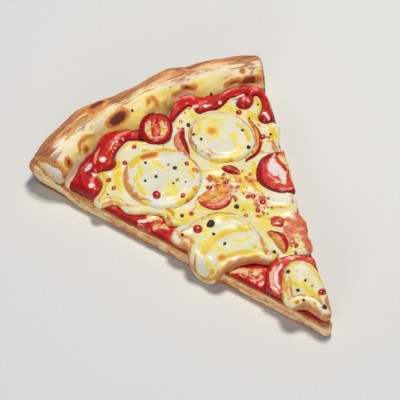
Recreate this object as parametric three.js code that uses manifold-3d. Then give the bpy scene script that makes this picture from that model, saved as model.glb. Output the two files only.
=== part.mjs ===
// A slice of cheese pizza lying flat on its underside. Millimetres, +Z up.
// The layers are made in the whole pizza's frame: its centre at the origin, +Y along the
// middle of the slice to the rim, the underside at z = 0. The last lines move the slice so
// that the middle of its underside is the origin.
import * as THREE from "three";
import { mergeVertices } from "three/addons/utils/BufferGeometryUtils.js";
import Module from "manifold-3d";

const wasm = await Module();
wasm.setup();

// ---- driving dimensions -------------------------------------------------------------------

const pizzaRadius = 178; // a 14 inch pizza
const sliceAngle = 46; // degrees between the two cuts, one of eight cut a little wide
const baseThickness = 8; // risen dough under the toppings
const tipRadius = 3; // the rounded point of the slice, which bulges a little past the cuts
const tipCentre = 6; // its middle, from the pizza's centre
const rimWidth = 24; // puffed edge, from its inner foot to the outside
const rimHeight = 24;
const rimUnderRadius = 170; // where the rim's outside curls in to the flat underside
const sauceThickness = 1.8;
const sauceInset = 0.5; // the sauce stops just short of the two cuts
const sauceStart = 7; // radius of the sauce nearest the tip
const beadWidth = 7; // the roll of sauce pushed up against the rim
const beadHeight = 3.4; // its height above the rest of the sauce
const cheeseThickness = 2;
const roundThickness = 3; // the two slices of mozzarella
const meltThickness = 4.6; // the two runny pieces of mozzarella
const tomatoThickness = 3.6;
const foldRadius = 0.9; // how tightly melted cheese turns over the cut edge
const gap = 0.3; // clearance between one piece and the next

const radians = Math.PI / 180;
const halfSlice = (sliceAngle / 2) * radians;
const sauceLevel = baseThickness + gap; // underside of the sauce
const cheeseLevel = sauceLevel + sauceThickness + gap; // underside of the cheese
const toppingLevel = cheeseLevel + cheeseThickness + gap; // underside of what lies on the cheese

// ---- waves round the slice: [degrees from the middle, mm], one pair for each crest and hollow ----

const rimReach = [[-23, -3], [-11, 2], [-3, 0], [5.5, 2], [12, 0], [23, -1.5]];
const rimRise = [[-23, 0], [-11, 0.6], [-3, -0.6], [5.5, 2], [12, 0.2], [23, -0.4]];
const ribbonRadius = [
  [-23, 149.6], [-18, 153.8], [-15.8, 153.2], [-10, 158], [-3, 148.8],
  [0, 149.2], [7.6, 158], [10.8, 152.3], [18.5, 155.5], [23, 150.5],
];

// The height of a wave at x, easing from each [x, y] pair to the next.
function waveAt(pairs, x) {
  const last = pairs.length - 1;
  const k = Math.max(0, Math.min(last - 1, pairs.findIndex(([px]) => px > x) - 1));
  const from = pairs[x >= pairs[last][0] ? last - 1 : k];
  const to = pairs[x >= pairs[last][0] ? last : k + 1];
  return THREE.MathUtils.smoothstep(x, from[0], to[0]) * (to[1] - from[1]) + from[1];
}

const ribbonAt = (turn) => waveAt(ribbonRadius, turn / radians);

// ---- places on the slice --------------------------------------------------------------------

const polar = (turn, radius) => [radius * Math.sin(turn), radius * Math.cos(turn)];
const atDegrees = ([degrees, radius]) => polar(degrees * radians, radius);

// Distance past the left cut (side -1) or the right cut (side 1), negative inside the slice.
const pastCut = (side, x, y) => side * x * Math.cos(halfSlice) - y * Math.sin(halfSlice);

// The flat place at a distance along a cut from the centre and past it.
function besideCut(side, along, past) {
  const [s, c] = [Math.sin(halfSlice), Math.cos(halfSlice)];
  return [side * (along * s + past * c), along * c - past * s];
}

// Radius at which the rounded tip meets the straight cuts.
const tipEnd =
  tipCentre * Math.cos(halfSlice) + Math.sqrt(tipRadius ** 2 - (tipCentre * Math.sin(halfSlice)) ** 2);

// Half the slice's angle at a radius: the tip's arc gives it up to the straight cuts.
function halfAngleAt(radius) {
  if (radius >= tipEnd) return halfSlice;
  const cosine = (radius ** 2 + tipCentre ** 2 - tipRadius ** 2) / (2 * radius * tipCentre);
  return Math.acos(Math.min(1, cosine));
}

// A place on a topping, height above a level, that hangs down the cut where it reaches past it.
function draped(level, thickness) {
  const bendRadius = foldRadius + thickness / 2;
  return ([x, y], height) => {
    const side = x < 0 ? -1 : 1;
    const bend = pastCut(side, x, y) + sauceInset;
    if (bend <= 0) return new THREE.Vector3(x, y, level + height);
    const turn = Math.min(bend / bendRadius, Math.PI / 2);
    const down = Math.max(bend - (bendRadius * Math.PI) / 2, 0);
    const reach = (foldRadius + height) * Math.sin(turn);
    const z = level - foldRadius + (foldRadius + height) * Math.cos(turn) - down;
    const moved = reach - bend;
    return new THREE.Vector3(
      x + side * Math.cos(halfSlice) * moved,
      y - Math.sin(halfSlice) * moved,
      z,
    );
  };
}

// ---- closed shapes --------------------------------------------------------------------------

const area = (loop) => THREE.ShapeUtils.area(loop.map(([x, y]) => new THREE.Vector2(x, y)));
const counterclockwise = (loop) => (area(loop) < 0 ? [...loop].reverse() : loop);

// A closed geometry from vertices and faces, without the faces that have shrunk to a line.
function closedGeometry(vertices, faces) {
  const loose = new THREE.BufferGeometry().setFromPoints(vertices);
  loose.setIndex(faces.flat());
  const merged = mergeVertices(loose, 1e-3);
  const index = [...merged.index.array];
  const kept = [];
  for (let i = 0; i < index.length; i += 3) {
    const [a, b, c] = index.slice(i, i + 3);
    if (a !== b && b !== c && c !== a) kept.push(a, b, c);
  }
  merged.setIndex(kept);
  return merged;
}

// Faces between two neighbouring rings of the same number of vertices, the first above the second.
function ringFaces(upper, lower, count) {
  return Array.from({ length: count }, (_, i) => {
    const j = (i + 1) % count;
    return [[upper + i, lower + i, lower + j], [upper + i, lower + j, upper + j]];
  }).flat();
}

// Rings from top to bottom, closed at both ends.
function ringStack(rings) {
  const count = rings[0].length;
  const faces = [];
  for (let k = 0; k + 1 < rings.length; k++)
    faces.push(...ringFaces(k * count, (k + 1) * count, count));
  const flat = (ring) => ring.map((p) => new THREE.Vector2(p.x, p.y));
  const lid = (ring) => THREE.ShapeUtils.triangulateShape(flat(ring), []);
  const bottom = (rings.length - 1) * count;
  if (rings[0][0].distanceTo(rings[0][1]) > 1e-3) faces.push(...lid(rings[0]));
  if (rings.at(-1)[0].distanceTo(rings.at(-1)[1]) > 1e-3)
    faces.push(...lid(rings.at(-1)).map(([a, b, c]) => [bottom + a, bottom + c, bottom + b]));
  return closedGeometry(rings.flat(), faces);
}

// A layer over the slice: a grid of rows from the tip outwards, each from the left cut to the
// right, with a wall from its border down to a flat underside.
function layer(rows, underRadius, level) {
  const columns = rows[0].length;
  const vertices = rows.flat();
  const faces = [];
  const at = (row, column) => row * columns + column;
  for (let i = 0; i + 1 < rows.length; i++)
    for (let j = 0; j + 1 < columns; j++) {
      faces.push([at(i, j), at(i, j + 1), at(i + 1, j + 1)]);
      faces.push([at(i, j), at(i + 1, j + 1), at(i + 1, j)]);
    }
  const last = rows.length - 1;
  const border = [
    ...rows[0].map((_, j) => at(0, j)),
    ...rows.slice(1).map((_, i) => at(i + 1, columns - 1)),
    ...rows[0].slice(1).map((_, j) => at(last, columns - 2 - j)),
    ...rows.slice(1, -1).map((_, i) => at(last - 1 - i, 0)),
  ];
  const under = border.map((v) => {
    const { x, y } = vertices[v];
    const shrink = Math.min(1, underRadius / Math.hypot(x, y));
    return new THREE.Vector3(x * shrink, y * shrink, level);
  });
  const first = vertices.length;
  border.forEach((v, k) => {
    const next = (k + 1) % border.length;
    faces.push([v, first + k, first + next], [v, first + next, border[next]]);
  });
  const outline = under.map((p) => new THREE.Vector2(p.x, p.y));
  for (const [a, b, c] of THREE.ShapeUtils.triangulateShape(outline, []))
    faces.push([first + a, first + c, first + b]);
  return closedGeometry([...vertices, ...under], faces);
}

// A smooth closed loop of count flat points through the given ones.
function smoothLoop(points, count) {
  const through = counterclockwise(points).map(([x, y]) => new THREE.Vector3(x, y, 0));
  const curve = new THREE.CatmullRomCurve3(through, true, "centripetal");
  return curve.getSpacedPoints(count).slice(0, count).map(({ x, y }) => [x, y]);
}

// A round outline whose radius has a few gentle waves.
function roundLoop([x, y], width, length, count, wobble = 0, lobes = 3, phase = 0) {
  return Array.from({ length: count }, (_, i) => {
    const turn = (i / count) * 2 * Math.PI;
    const wave = 1 + wobble * Math.sin(lobes * turn + phase);
    return [x + (width / 2) * wave * Math.cos(turn), y + (length / 2) * wave * Math.sin(turn)];
  });
}

// Rounded sections of a topping, top to underside: [share of the way out, share of the thickness].
const domeSection = [[0, 1], [0.45, 0.98], [0.75, 0.9], [0.92, 0.7], [1, 0.32], [0.985, 0], [0, 0]];
const meltSection = [
  [0, 1], [0.3, 0.99], [0.52, 0.97], [0.7, 0.92], [0.84, 0.82], [0.94, 0.62], [1, 0.28],
  [0.985, 0], [0.84, 0], [0.7, 0], [0.52, 0], [0.3, 0], [0, 0],
];
const sliceSection = [[0, 1], [0.86, 1], [0.96, 0.88], [1, 0.6], [0.99, 0.2], [0.95, 0], [0, 0]];
const scrapSection = [[0, 1], [0.6, 0.88], [0.95, 0.5], [1, 0], [0, 0]];

// A topping with the given outline. Each outline point has the anchor it is drawn in to,
// a centre or a place on a spine; grow gives the same shape a little larger all round.
function topping(outline, anchors, section, thickness, place, grow = 0) {
  const rings = section.map(([share, height]) =>
    outline.map(([x, y], i) => {
      const [ax, ay] = anchors[i];
      const length = Math.hypot(x - ax, y - ay) || 1;
      const reach = (share * (length + grow)) / length;
      const lift = thickness * height + (height > 0 ? grow : -grow);
      return place([ax + (x - ax) * reach, ay + (y - ay) * reach], lift);
    }),
  );
  return ringStack(rings);
}

const around = (centre, outline) => outline.map(() => centre);

// A scrap that follows a curve, widest in the middle and pointed at both ends.
function scrap(points, width, thickness, level) {
  const curve = new THREE.CatmullRomCurve3(points.map(([x, y]) => new THREE.Vector3(x, y, 0)));
  const steps = 9;
  const edge = (side) =>
    Array.from({ length: steps + 1 }, (_, i) => {
      const p = curve.getPointAt(i / steps);
      const t = curve.getTangentAt(i / steps);
      const half = side * (width / 2) * Math.sin((Math.PI * i) / steps) ** 0.7;
      return { spine: [p.x, p.y], at: [p.x + t.y * half, p.y - t.x * half] };
    });
  const loop = [...edge(1), ...edge(-1).slice(1, -1).reverse()];
  const order = area(loop.map((v) => v.at)) < 0 ? loop.reverse() : loop;
  const place = ([x, y], height) => new THREE.Vector3(x, y, level + height);
  return topping(order.map((v) => v.at), order.map((v) => v.spine), scrapSection, thickness, place);
}

// ---- fitting pieces to each other ------------------------------------------------------------

function solidOf(geometry) {
  return new wasm.Manifold(
    new wasm.Mesh({
      numProp: 3,
      vertProperties: new Float32Array(geometry.attributes.position.array),
      triVerts: new Uint32Array(geometry.index.array),
    }),
  );
}

function geometryOf(solid) {
  const mesh = solid.getMesh();
  const geometry = new THREE.BufferGeometry();
  geometry.setAttribute("position", new THREE.BufferAttribute(mesh.vertProperties, 3));
  geometry.setIndex(new THREE.BufferAttribute(mesh.triVerts, 1));
  return geometry;
}

const largest = (solid) =>
  solid.decompose().reduce((best, body) => (body.volume() > best.volume() ? body : best));

// A piece with the space of another taken out of it, moved by each of the given shifts.
function cutBy(piece, other, shifts = [[0, 0, 0]]) {
  const tool = solidOf(other);
  const left = shifts.reduce((rest, shift) => rest.subtract(tool.translate(shift)), solidOf(piece));
  return geometryOf(largest(left));
}

// ---- crust ----------------------------------------------------------------------------------

// Section of the rim, from the base up over the top and down the outside:
// [share of the rim's width, share of its height].
const rimSection = [
  [0, 0.42], [0.03, 0.58], [0.09, 0.74], [0.18, 0.87], [0.3, 0.96], [0.44, 1], [0.6, 0.97],
  [0.76, 0.86], [0.89, 0.69], [0.98, 0.48], [1, 0.32], [0.97, 0.17], [0.88, 0.05],
];

function makeCrust() {
  const columns = 27;
  const tipStart = tipCentre - tipRadius;
  const tipRows = [0, 0.04, 0.16, 0.42, 0.7, 1].map((t) => tipStart + (tipEnd - tipStart) * t);
  const baseRows = [30, 65, 100, 134].map((radius) => [radius, baseThickness]);
  const rows = [...tipRows.map((radius) => [radius, baseThickness]), ...baseRows];
  const across = (half) =>
    Array.from({ length: columns + 1 }, (_, j) => half * ((2 * j) / columns - 1));
  const grid = rows.map(([radius, z]) =>
    across(halfAngleAt(radius)).map((turn) => new THREE.Vector3(...polar(turn, radius), z)),
  );
  for (const [inside, lift] of [[4, 0], [1.2, 0.7]])
    grid.push(
      across(halfSlice).map((turn) => {
        const radius = ribbonAt(turn) + 1.5 - inside;
        return new THREE.Vector3(...polar(turn, radius), baseThickness + lift);
      }),
    );
  for (const section of rimSection)
    grid.push(across(halfSlice).map((turn) => rimPoint(turn, section)));
  return layer(grid, rimUnderRadius, 0);
}

// A point on the rim's skin: uneven in reach and height, with low bumps along its top.
function rimPoint(turn, [out, up]) {
  const foot = ribbonAt(turn) + 1.5;
  const outside = pizzaRadius + waveAt(rimReach, turn / radians);
  const bump = Math.sin(turn * 31 + out * 5) * Math.sin(turn * 19 + 1) * Math.min(1, up * 1.2);
  const height = rimHeight + waveAt(rimRise, turn / radians) + 0.7 * bump;
  const radius = foot + out * (outside - foot);
  return new THREE.Vector3(...polar(turn, radius), up * height);
}

// ---- sauce ----------------------------------------------------------------------------------

const edgeRoll = { from: 127, past: 1 }; // where the roll of sauce turns in along the right cut

// How far the sauce reaches past the right cut at a radius.
function sauceRightReach(radius) {
  const roll = THREE.MathUtils.smoothstep(radius, edgeRoll.from - 4, edgeRoll.from + 6);
  return roll * (edgeRoll.past + sauceInset) - sauceInset;
}

// Height of the roll of sauce at a distance from its middle.
function rollHeight(distance) {
  return beadHeight * Math.sqrt(Math.max(0, 1 - (distance / (beadWidth / 2)) ** 2));
}

function sauceHeight(turn, radius) {
  const ribbon = rollHeight(radius - ribbonAt(turn));
  const inside = radius * Math.sin(halfSlice - turn);
  const along = THREE.MathUtils.smoothstep(radius, edgeRoll.from, edgeRoll.from + 6);
  const side = along * rollHeight(inside - beadWidth / 2 + edgeRoll.past);
  return sauceThickness + Math.max(ribbon, side);
}

function makeSauce(crust) {
  const columns = 34;
  const flatRows = [0, 0.2, 0.45, 0.7, 0.83, 0.88, 0.93, 1];
  const rollRows = [-0.99, -0.85, -0.55, -0.2, 0.2, 0.55, 0.85, 1].map((d) => (d * beadWidth) / 2);
  const point = (turn, radius) =>
    new THREE.Vector3(...polar(turn, radius), sauceLevel + sauceHeight(turn, radius));
  const row = (radiusAt) =>
    Array.from({ length: columns + 1 }, (_, j) => {
      const share = j / columns;
      const nominal = radiusAt(halfSlice * (2 * share - 1));
      const left = -halfSlice + Math.asin(sauceInset / nominal);
      const right = halfSlice + Math.asin(sauceRightReach(nominal) / nominal);
      const turn = left + (right - left) * share;
      return point(turn, radiusAt(turn));
    });
  const flat = flatRows.map((share) =>
    row((turn) => sauceStart + share * (ribbonAt(turn) - beadWidth / 2 - 1 - sauceStart)),
  );
  const roll = rollRows.map((d) => row((turn) => ribbonAt(turn) + d));
  const sauce = layer([...flat, ...roll], pizzaRadius, sauceLevel);
  return cutBy(sauce, crust, [[0, 0, gap], [0, -gap, 0]]);
}

// ---- toppings -------------------------------------------------------------------------------

const roundLeft = { centre: [-17.8, 117.4], width: 38.6, length: 39.4, wobble: 0.02, phase: 1 };
const roundRight = { centre: [21.6, 124.8], width: 32.4, length: 37, wobble: 0.02, phase: 4 };
const tipSlice = { centre: [1.6, 29.4], diameter: 29.6 };
const sideSlice = { centre: [34, 88.8], diameter: 27.4 };
const sunkSlice = { centre: [-3.2, 92.9], diameter: 14.6 };
const rimHalf = { centre: [-4.4, 144.4, 16.6], diameter: 16.4, depth: 6.4, lean: [-0.3, -0.52, 0.8] };

// The runny piece on the left: along the left cut and past it, so it hangs where past is positive.
const sideMelt = {
  centre: besideCut(-1, 68, -10),
  outline: [
    [92, -5.5], [90, 0.3], [84, 1.6], [79, 0.4], [77.4, 5.6], [74.6, 10], [69, 11.9], [63, 10.8],
    [58.8, 5.6], [56, -3.6], [49, -11.8], [42.6, -14.4], [42.3, -21], [47, -21.8], [57.4, -26.6],
    [65, -30], [73, -30.2], [82, -25.4], [86.4, -17],
  ].map(([along, past]) => besideCut(-1, along, past)),
};

// The runny piece over the tomato at the tip.
const tipMelt = {
  centre: [0.8, 24],
  outline: [
    [11.2, 33.4], [7.7, 38.5], [2, 39.8], [-5, 34.7], [-10.6, 27], [-12.6, 21.8], [-10.6, 17.4],
    [-5.2, 15.4], [-3.4, 10], [-1.6, 5.4], [1.6, 5], [5.6, 12], [9.6, 21.5], [11.2, 28.6],
  ],
};

// Edge of the cheese: down the left cut, up the right one and back along the sauce by the rim.
const cheeseLeft = [
  [134.6, 1.2], [130.5, 2.4], [125.5, -4.2], [117, -3], [107, -9.2], [102.5, -11], [97, -7.6],
  [92, -9], [84, -2], [60, -2], [45, -5],
];
const cheeseRight = [
  [45, 0.5], [54, 0.2], [63, 1.4], [70, -1.6], [76, -0.1], [84, -1.6], [92, 0.6], [103, 0.8],
  [113, -1.4], [119, 0.6], [126, 2.2],
];
const cheeseRim = [
  [20.6, 130.5], [19.9, 134.7], [21, 142], [20.6, 149.6], [18.4, 145.6], [16.5, 141.4],
  [15.4, 149], [12.3, 145.4], [8.7, 145.4], [8, 153], [5.6, 151], [1.8, 146], [-3.4, 138.6],
  [-6.6, 145.2], [-8.2, 153.6], [-12, 151.4], [-18, 146.4], [-18.8, 139], [-21, 135.4],
];

const discAt = ({ centre, diameter }, count) =>
  roundLoop(centre, diameter, diameter, count);

// An outline drawn back to the cuts where it would pass them.
function keptInside(outline, past) {
  return outline.map(([x, y]) => {
    const side = x < 0 ? -1 : 1;
    const over = Math.max(0, pastCut(side, x, y) - past);
    return [x - side * Math.cos(halfSlice) * over, y + Math.sin(halfSlice) * over];
  });
}

const upFrom = (level) => ([x, y], height) => new THREE.Vector3(x, y, level + height);

function makeTomatoSlice(slice, thickness, past, grow = 0) {
  const corners = 26;
  const outline = smoothLoop(keptInside(discAt(slice, corners), past), corners);
  const centre = outline.reduce(([x, y], p) => [x + p[0] / corners, y + p[1] / corners], [0, 0]);
  const place = upFrom(cheeseLevel);
  return topping(outline, around(centre, outline), sliceSection, thickness, place, grow);
}

function makeMelt({ centre, outline }, thickness, grow = 0) {
  const loop = smoothLoop(outline, 40);
  return topping(loop, around(centre, loop), meltSection, thickness, draped(cheeseLevel, thickness), grow);
}

function makeRound({ centre, width, length, wobble, phase }) {
  const outline = roundLoop(centre, width, length, 28, wobble, 3, phase);
  return topping(outline, around(centre, outline), domeSection, roundThickness, upFrom(toppingLevel));
}

function makeCheese() {
  const left = cheeseLeft.map(([along, past]) => besideCut(-1, along, past));
  const right = cheeseRight.map(([along, past]) => besideCut(1, along, past));
  const count = 108;
  const outline = smoothLoop([...left, ...right, ...cheeseRim.map(atDegrees)], count);
  const inset = (distance) =>
    outline.map(([x, y], i) => {
      const [bx, by] = outline[(i + count - 1) % count];
      const [ex, ey] = outline[(i + 1) % count];
      const length = Math.hypot(ex - bx, ey - by);
      return [x - (distance * (ey - by)) / length, y + (distance * (ex - bx)) / length];
    });
  const place = draped(cheeseLevel, cheeseThickness);
  const section = [[1.6, 1], [0.5, 0.85], [0, 0.35], [0.2, 0], [1.6, 0]];
  return ringStack(
    section.map(([inside, up]) => inset(inside).map((p) => place(p, up * cheeseThickness))),
  );
}

// Half a small tomato propped on the rim, its cut face leaning towards the tip.
function makeRimHalf() {
  const { centre, diameter, depth, lean } = rimHalf;
  const outline = roundLoop([0, 0], diameter, diameter, 22);
  const bowl = [[0, 0], [0.88, 0], [1, -0.16], [0.96, -0.45], [0.72, -0.8], [0, -1]];
  const half = topping(outline, around([0, 0], outline), bowl, depth, upFrom(0));
  const turn = new THREE.Quaternion();
  turn.setFromUnitVectors(new THREE.Vector3(0, 0, 1), new THREE.Vector3(...lean).normalize());
  const place = new THREE.Matrix4().makeRotationFromQuaternion(turn);
  return half.applyMatrix4(place.setPosition(...centre));
}

// ---- the slice ------------------------------------------------------------------------------

const above = [[0, 0, gap]];
const outwards = (side) => [side * Math.cos(halfSlice) * gap, -Math.sin(halfSlice) * gap, 0];

const crust = makeCrust();
const sauce = makeSauce(crust);

const slices = {
  tomato_slice_tip: [tipSlice, tomatoThickness, -0.4],
  tomato_half_side: [sideSlice, tomatoThickness, 0],
  tomato_slice_sunk: [sunkSlice, 2.8, 0],
};

let sideMeltShape = makeMelt(sideMelt, meltThickness);
sideMeltShape = cutBy(sideMeltShape, sauce, [[0, 0, gap], outwards(-1)]);
sideMeltShape = cutBy(sideMeltShape, crust, [[0, 0, gap], outwards(-1)]);

let tipMeltShape = makeMelt(tipMelt, meltThickness + 1.4);
tipMeltShape = cutBy(tipMeltShape, makeTomatoSlice(...slices.tomato_slice_tip, gap));
tipMeltShape = cutBy(tipMeltShape, sauce, [[0, 0, gap], outwards(-1), outwards(1)]);
tipMeltShape = cutBy(tipMeltShape, crust, [[0, 0, gap], outwards(-1), outwards(1)]);

let cheese = cutBy(makeCheese(), makeMelt(sideMelt, meltThickness, gap));
for (const slice of Object.values(slices)) cheese = cutBy(cheese, makeTomatoSlice(...slice, gap));
cheese = cutBy(cheese, sauce, [[0, 0, gap], [0, -gap, 0]]);

const sunk = cutBy(makeTomatoSlice(...slices.tomato_slice_sunk), makeMelt(sideMelt, meltThickness, gap));

let rimHalfShape = makeRimHalf();
for (const below of [crust, sauce, cheese])
  rimHalfShape = cutBy(rimHalfShape, below, [[0, 0, 0], [0, 0, gap], [0, -gap, 0], [0, gap, 0]]);

// A strip tucked round the right-hand mozzarella.
const stripPath = [-88, -55, -22, 8].map((degrees) => {
  const { centre, width, length } = roundRight;
  const turn = degrees * radians;
  return [
    centre[0] + (width / 2 + 2.4) * Math.cos(turn),
    centre[1] + (length / 2 + 2.4) * Math.sin(turn),
  ];
});

const pieces = {
  crust,
  sauce,
  cheese,
  mozzarella_round_left: makeRound(roundLeft),
  mozzarella_round_right: makeRound(roundRight),
  mozzarella_melt_side: sideMeltShape,
  mozzarella_melt_tip: tipMeltShape,
  tomato_slice_tip: makeTomatoSlice(...slices.tomato_slice_tip),
  tomato_half_side: makeTomatoSlice(...slices.tomato_half_side),
  tomato_slice_sunk: sunk,
  tomato_half_rim: rimHalfShape,
  tomato_sliver: scrap([[11, 107.4], [14.4, 103.4], [15.8, 98.8]], 4.6, 1.8, toppingLevel),
  tomato_piece: scrap([[11, 63.4], [14.3, 64.2], [17.6, 63.4]], 6.2, 1.6, toppingLevel),
  tomato_wedge: scrap([[6.8, 61], [9.2, 55.6], [8.6, 50.6], [6, 47]], 5, 2.2, toppingLevel),
  tomato_curl: scrap([[9.2, 140.4], [2.6, 134], [1.2, 122.6]], 4.8, 1.8, toppingLevel),
  tomato_strip: scrap(stripPath, 3, 1.6, toppingLevel),
};

const finishes = {
  crust: { color: 0xd9a662, roughness: 0.75 },
  sauce: { color: 0xc92a1d, roughness: 0.3 },
  cheese: { color: 0xf2dd92, roughness: 0.45 },
  mozzarella: { color: 0xfbf1d2, roughness: 0.4 },
  tomato: { color: 0xd8381f, roughness: 0.3 },
};

const slice = new THREE.Group();
for (const [name, geometry] of Object.entries(pieces)) {
  const finish = finishes[name.split("_")[0]];
  const mesh = new THREE.Mesh(geometry, new THREE.MeshStandardMaterial({ metalness: 0, ...finish }));
  mesh.name = name;
  slice.add(mesh);
}

// The middle of the underside of the whole slice becomes the origin.
const size = new THREE.Box3().setFromObject(slice);
slice.position.set(-(size.min.x + size.max.x) / 2, -(size.min.y + size.max.y) / 2, -size.min.z);

const pizzaSlice = new THREE.Group();
pizzaSlice.add(slice);

export default pizzaSlice;
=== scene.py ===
import math

import bpy
import numpy as np
from mathutils import Matrix, Vector
from mathutils.bvhtree import BVHTree


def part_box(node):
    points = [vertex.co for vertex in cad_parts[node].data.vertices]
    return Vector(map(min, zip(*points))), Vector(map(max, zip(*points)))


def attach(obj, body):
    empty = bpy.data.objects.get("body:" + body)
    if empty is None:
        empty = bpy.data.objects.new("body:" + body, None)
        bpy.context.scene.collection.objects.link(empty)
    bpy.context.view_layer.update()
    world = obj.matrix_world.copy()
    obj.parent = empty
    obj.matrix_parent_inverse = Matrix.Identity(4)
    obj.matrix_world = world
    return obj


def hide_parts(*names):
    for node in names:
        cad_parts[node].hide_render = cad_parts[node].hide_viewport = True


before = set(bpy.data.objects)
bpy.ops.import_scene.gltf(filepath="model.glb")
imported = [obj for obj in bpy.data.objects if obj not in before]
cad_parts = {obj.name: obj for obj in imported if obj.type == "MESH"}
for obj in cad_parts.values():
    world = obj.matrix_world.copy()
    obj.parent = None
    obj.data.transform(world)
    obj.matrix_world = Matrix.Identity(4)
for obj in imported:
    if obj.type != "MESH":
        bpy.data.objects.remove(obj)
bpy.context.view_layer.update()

# A slice of cheese pizza: every length is in millimetres in the whole pizza's frame, with the
# pizza's centre at the origin, +Y along the middle of the slice to the rim, the underside at z = 0.
pizza = {
    "sliceAngle": 46,  # degrees between the two cuts
    "cornerAlong": 175,  # how far along a cut the rim's corner is
    "tipRadius": 3,  # rounded point of the base
    "tipCentre": 6,
    "base": 8,  # dough under the toppings
    "rimFoot": 154,
    "rimOutside": 178,
    "rimHeight": 24,
    "sauceInset": 0.5,
    "foldRadius": 0.9,  # how tightly melted cheese turns over the cut
    "cheeseLevel": 10.4,
    "toppingLevel": 12.7,
}
halfSlice = math.radians(pizza["sliceAngle"] / 2)
cutSin, cutCos = math.sin(halfSlice), math.cos(halfSlice)

tip = pizza["tipCentre"] - pizza["tipRadius"]
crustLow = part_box("crust")[0]
pizzaCentre = np.array((crustLow.x * 1000 + pizza["cornerAlong"] * cutSin, crustLow.y * 1000 - tip, 0))


def place(x, y, z=0.0):
    return Vector((np.array((x, y, z)) + pizzaCentre) / 1000)


def readRows(source, name):
    flat = np.empty(len(source) * 3)
    source.foreach_get(name, flat)
    return flat.reshape(-1, 3)


def readPoints(piece):
    return readRows(piece.data.vertices, "co") * 1000 - pizzaCentre


def writePoints(piece, points):
    piece.data.vertices.foreach_set("co", ((points + pizzaCentre) / 1000).ravel())
    piece.data.update()


def readNormals(piece):
    return readRows(piece.data.vertex_normals, "vector")


def writeMasks(piece, grain=None, **masks):
    for name, values in masks.items():
        layer = piece.data.attributes.new(name, "FLOAT", "POINT")
        layer.data.foreach_set("value", np.clip(values, 0, 1).astype(np.float32))
    if grain is not None:  # where the surface lay before it was bent, for patterns that follow it
        layer = piece.data.attributes.new("grain", "FLOAT_VECTOR", "POINT")
        layer.data.foreach_set("vector", (grain / 1000).astype(np.float32).ravel())


# Smooth steps, waves and noise

def ease(low, high, x):
    t = np.clip((x - low) / (high - low), 0, 1)
    return t * t * (3 - 2 * t)


def waveAt(pairs, x):
    # eases from each crest or hollow (x, height) to the next
    px, py = np.array(pairs, float).T
    k = np.clip(np.searchsorted(px, x) - 1, 0, len(px) - 2)
    return py[k] + (py[k + 1] - py[k]) * ease(px[k], px[k + 1], x)


def softNoise(points, size, seed):
    # rolling bumps between -1 and 1, about size across
    lattice = np.random.default_rng(seed).random((32, 32, 32)) * 2 - 1
    scaled = points / size + 100
    corner = np.floor(scaled).astype(int)
    share = scaled - corner
    share = share * share * (3 - 2 * share)
    total = np.zeros(len(points))
    for step in np.ndindex(2, 2, 2):
        weight = np.prod(np.abs(1 - np.array(step) - share), axis=1)
        total += weight * lattice[tuple(((corner + step) % 32).T)]
    return total


def rough(points, seed, *waves):
    # soft noise of several sizes together: (height, size) of each
    return sum(height * softNoise(points, size, seed + i) for i, (height, size) in enumerate(waves))


# Places on the slice

def besideCut(side, along, past):
    # along a cut from the pizza's centre, and past it: side -1 is the left cut, 1 the right one
    return side * (along * cutSin + past * cutCos), along * cutCos - past * cutSin


def besideCuts(side, places):
    return [besideCut(side, *p) for p in places]


def pastCut(side, points):
    return side * points[:, 0] * cutCos - points[:, 1] * cutSin


def smoothPath(corners, spacing=1.0, closed=True):
    # a curve through the corners, as points about spacing apart
    points = np.array(corners, float)
    if closed:
        ring = np.vstack((points[-1:], points, points[:2]))
    else:
        ring = np.vstack((2 * points[:1] - points[1:2], points, 2 * points[-1:] - points[-2:-1]))
    path = []
    for four in zip(ring, ring[1:], ring[2:], ring[3:]):
        knots = np.cumsum([0] + [np.linalg.norm(b - a) ** 0.5 for a, b in zip(four, four[1:])])
        count = max(1, round(float(np.linalg.norm(four[2] - four[1])) / spacing))
        t = np.linspace(knots[1], knots[2], count, endpoint=False)[:, None]
        mixed = four
        for spans in (((0, 1), (1, 2), (2, 3)), ((0, 2), (1, 3)), ((1, 2),)):
            mixed = [(knots[high] - t) / (knots[high] - knots[low]) * mixed[i]
                     + (t - knots[low]) / (knots[high] - knots[low]) * mixed[i + 1]
                     for i, (low, high) in enumerate(spans)]
        path.append(mixed[0])
    path = np.vstack(path)
    return path if closed else np.vstack((path, points[-1:]))


def distanceTo(points, path, closed=False):
    # distance from each point to a flat or solid path, and how far along it the nearest place is
    path = np.array(path, float)
    if len(path) == 1:
        path = np.vstack((path, path))
    starts = path if closed else path[:-1]
    ends = np.roll(path, -1, axis=0) if closed else path[1:]
    columns = points.T[:path.shape[1]]
    nearest = np.full(len(points), 1e9)
    along = np.zeros(len(points))
    for i, (a, b) in enumerate(zip(starts, ends)):
        step = b - a
        away = [column - start for column, start in zip(columns, a)]
        t = np.clip(sum(x * dx for x, dx in zip(away, step)) / (step @ step + 1e-9), 0, 1)
        distance = np.sqrt(sum((x - t * dx) ** 2 for x, dx in zip(away, step)))
        closer = distance < nearest
        nearest[closer] = distance[closer]
        along[closer] = i + t[closer]
    return nearest, along / len(starts)


def paint(points, strokes, soft=0.75):
    # brush strokes (width, strength, places): full along the middle, fading to the sides and ends
    strength = np.zeros(len(points))
    for width, amount, *path in strokes:
        path = smoothPath(path, 2, closed=False) if len(path) > 2 else np.array(path, float)
        flat = points[:, :path.shape[1]]
        near = np.all((flat > path.min(0) - width / 2) & (flat < path.max(0) + width / 2), axis=1)
        distance, along = distanceTo(flat[near], path)
        taper = 0.55 + 0.45 * np.sin(math.pi * along) if len(path) > 2 else 1
        value = amount * ease(0, soft, 1 - distance / (width / 2 * taper))
        strength[near] = np.maximum(strength[near], value)
    return strength


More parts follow.
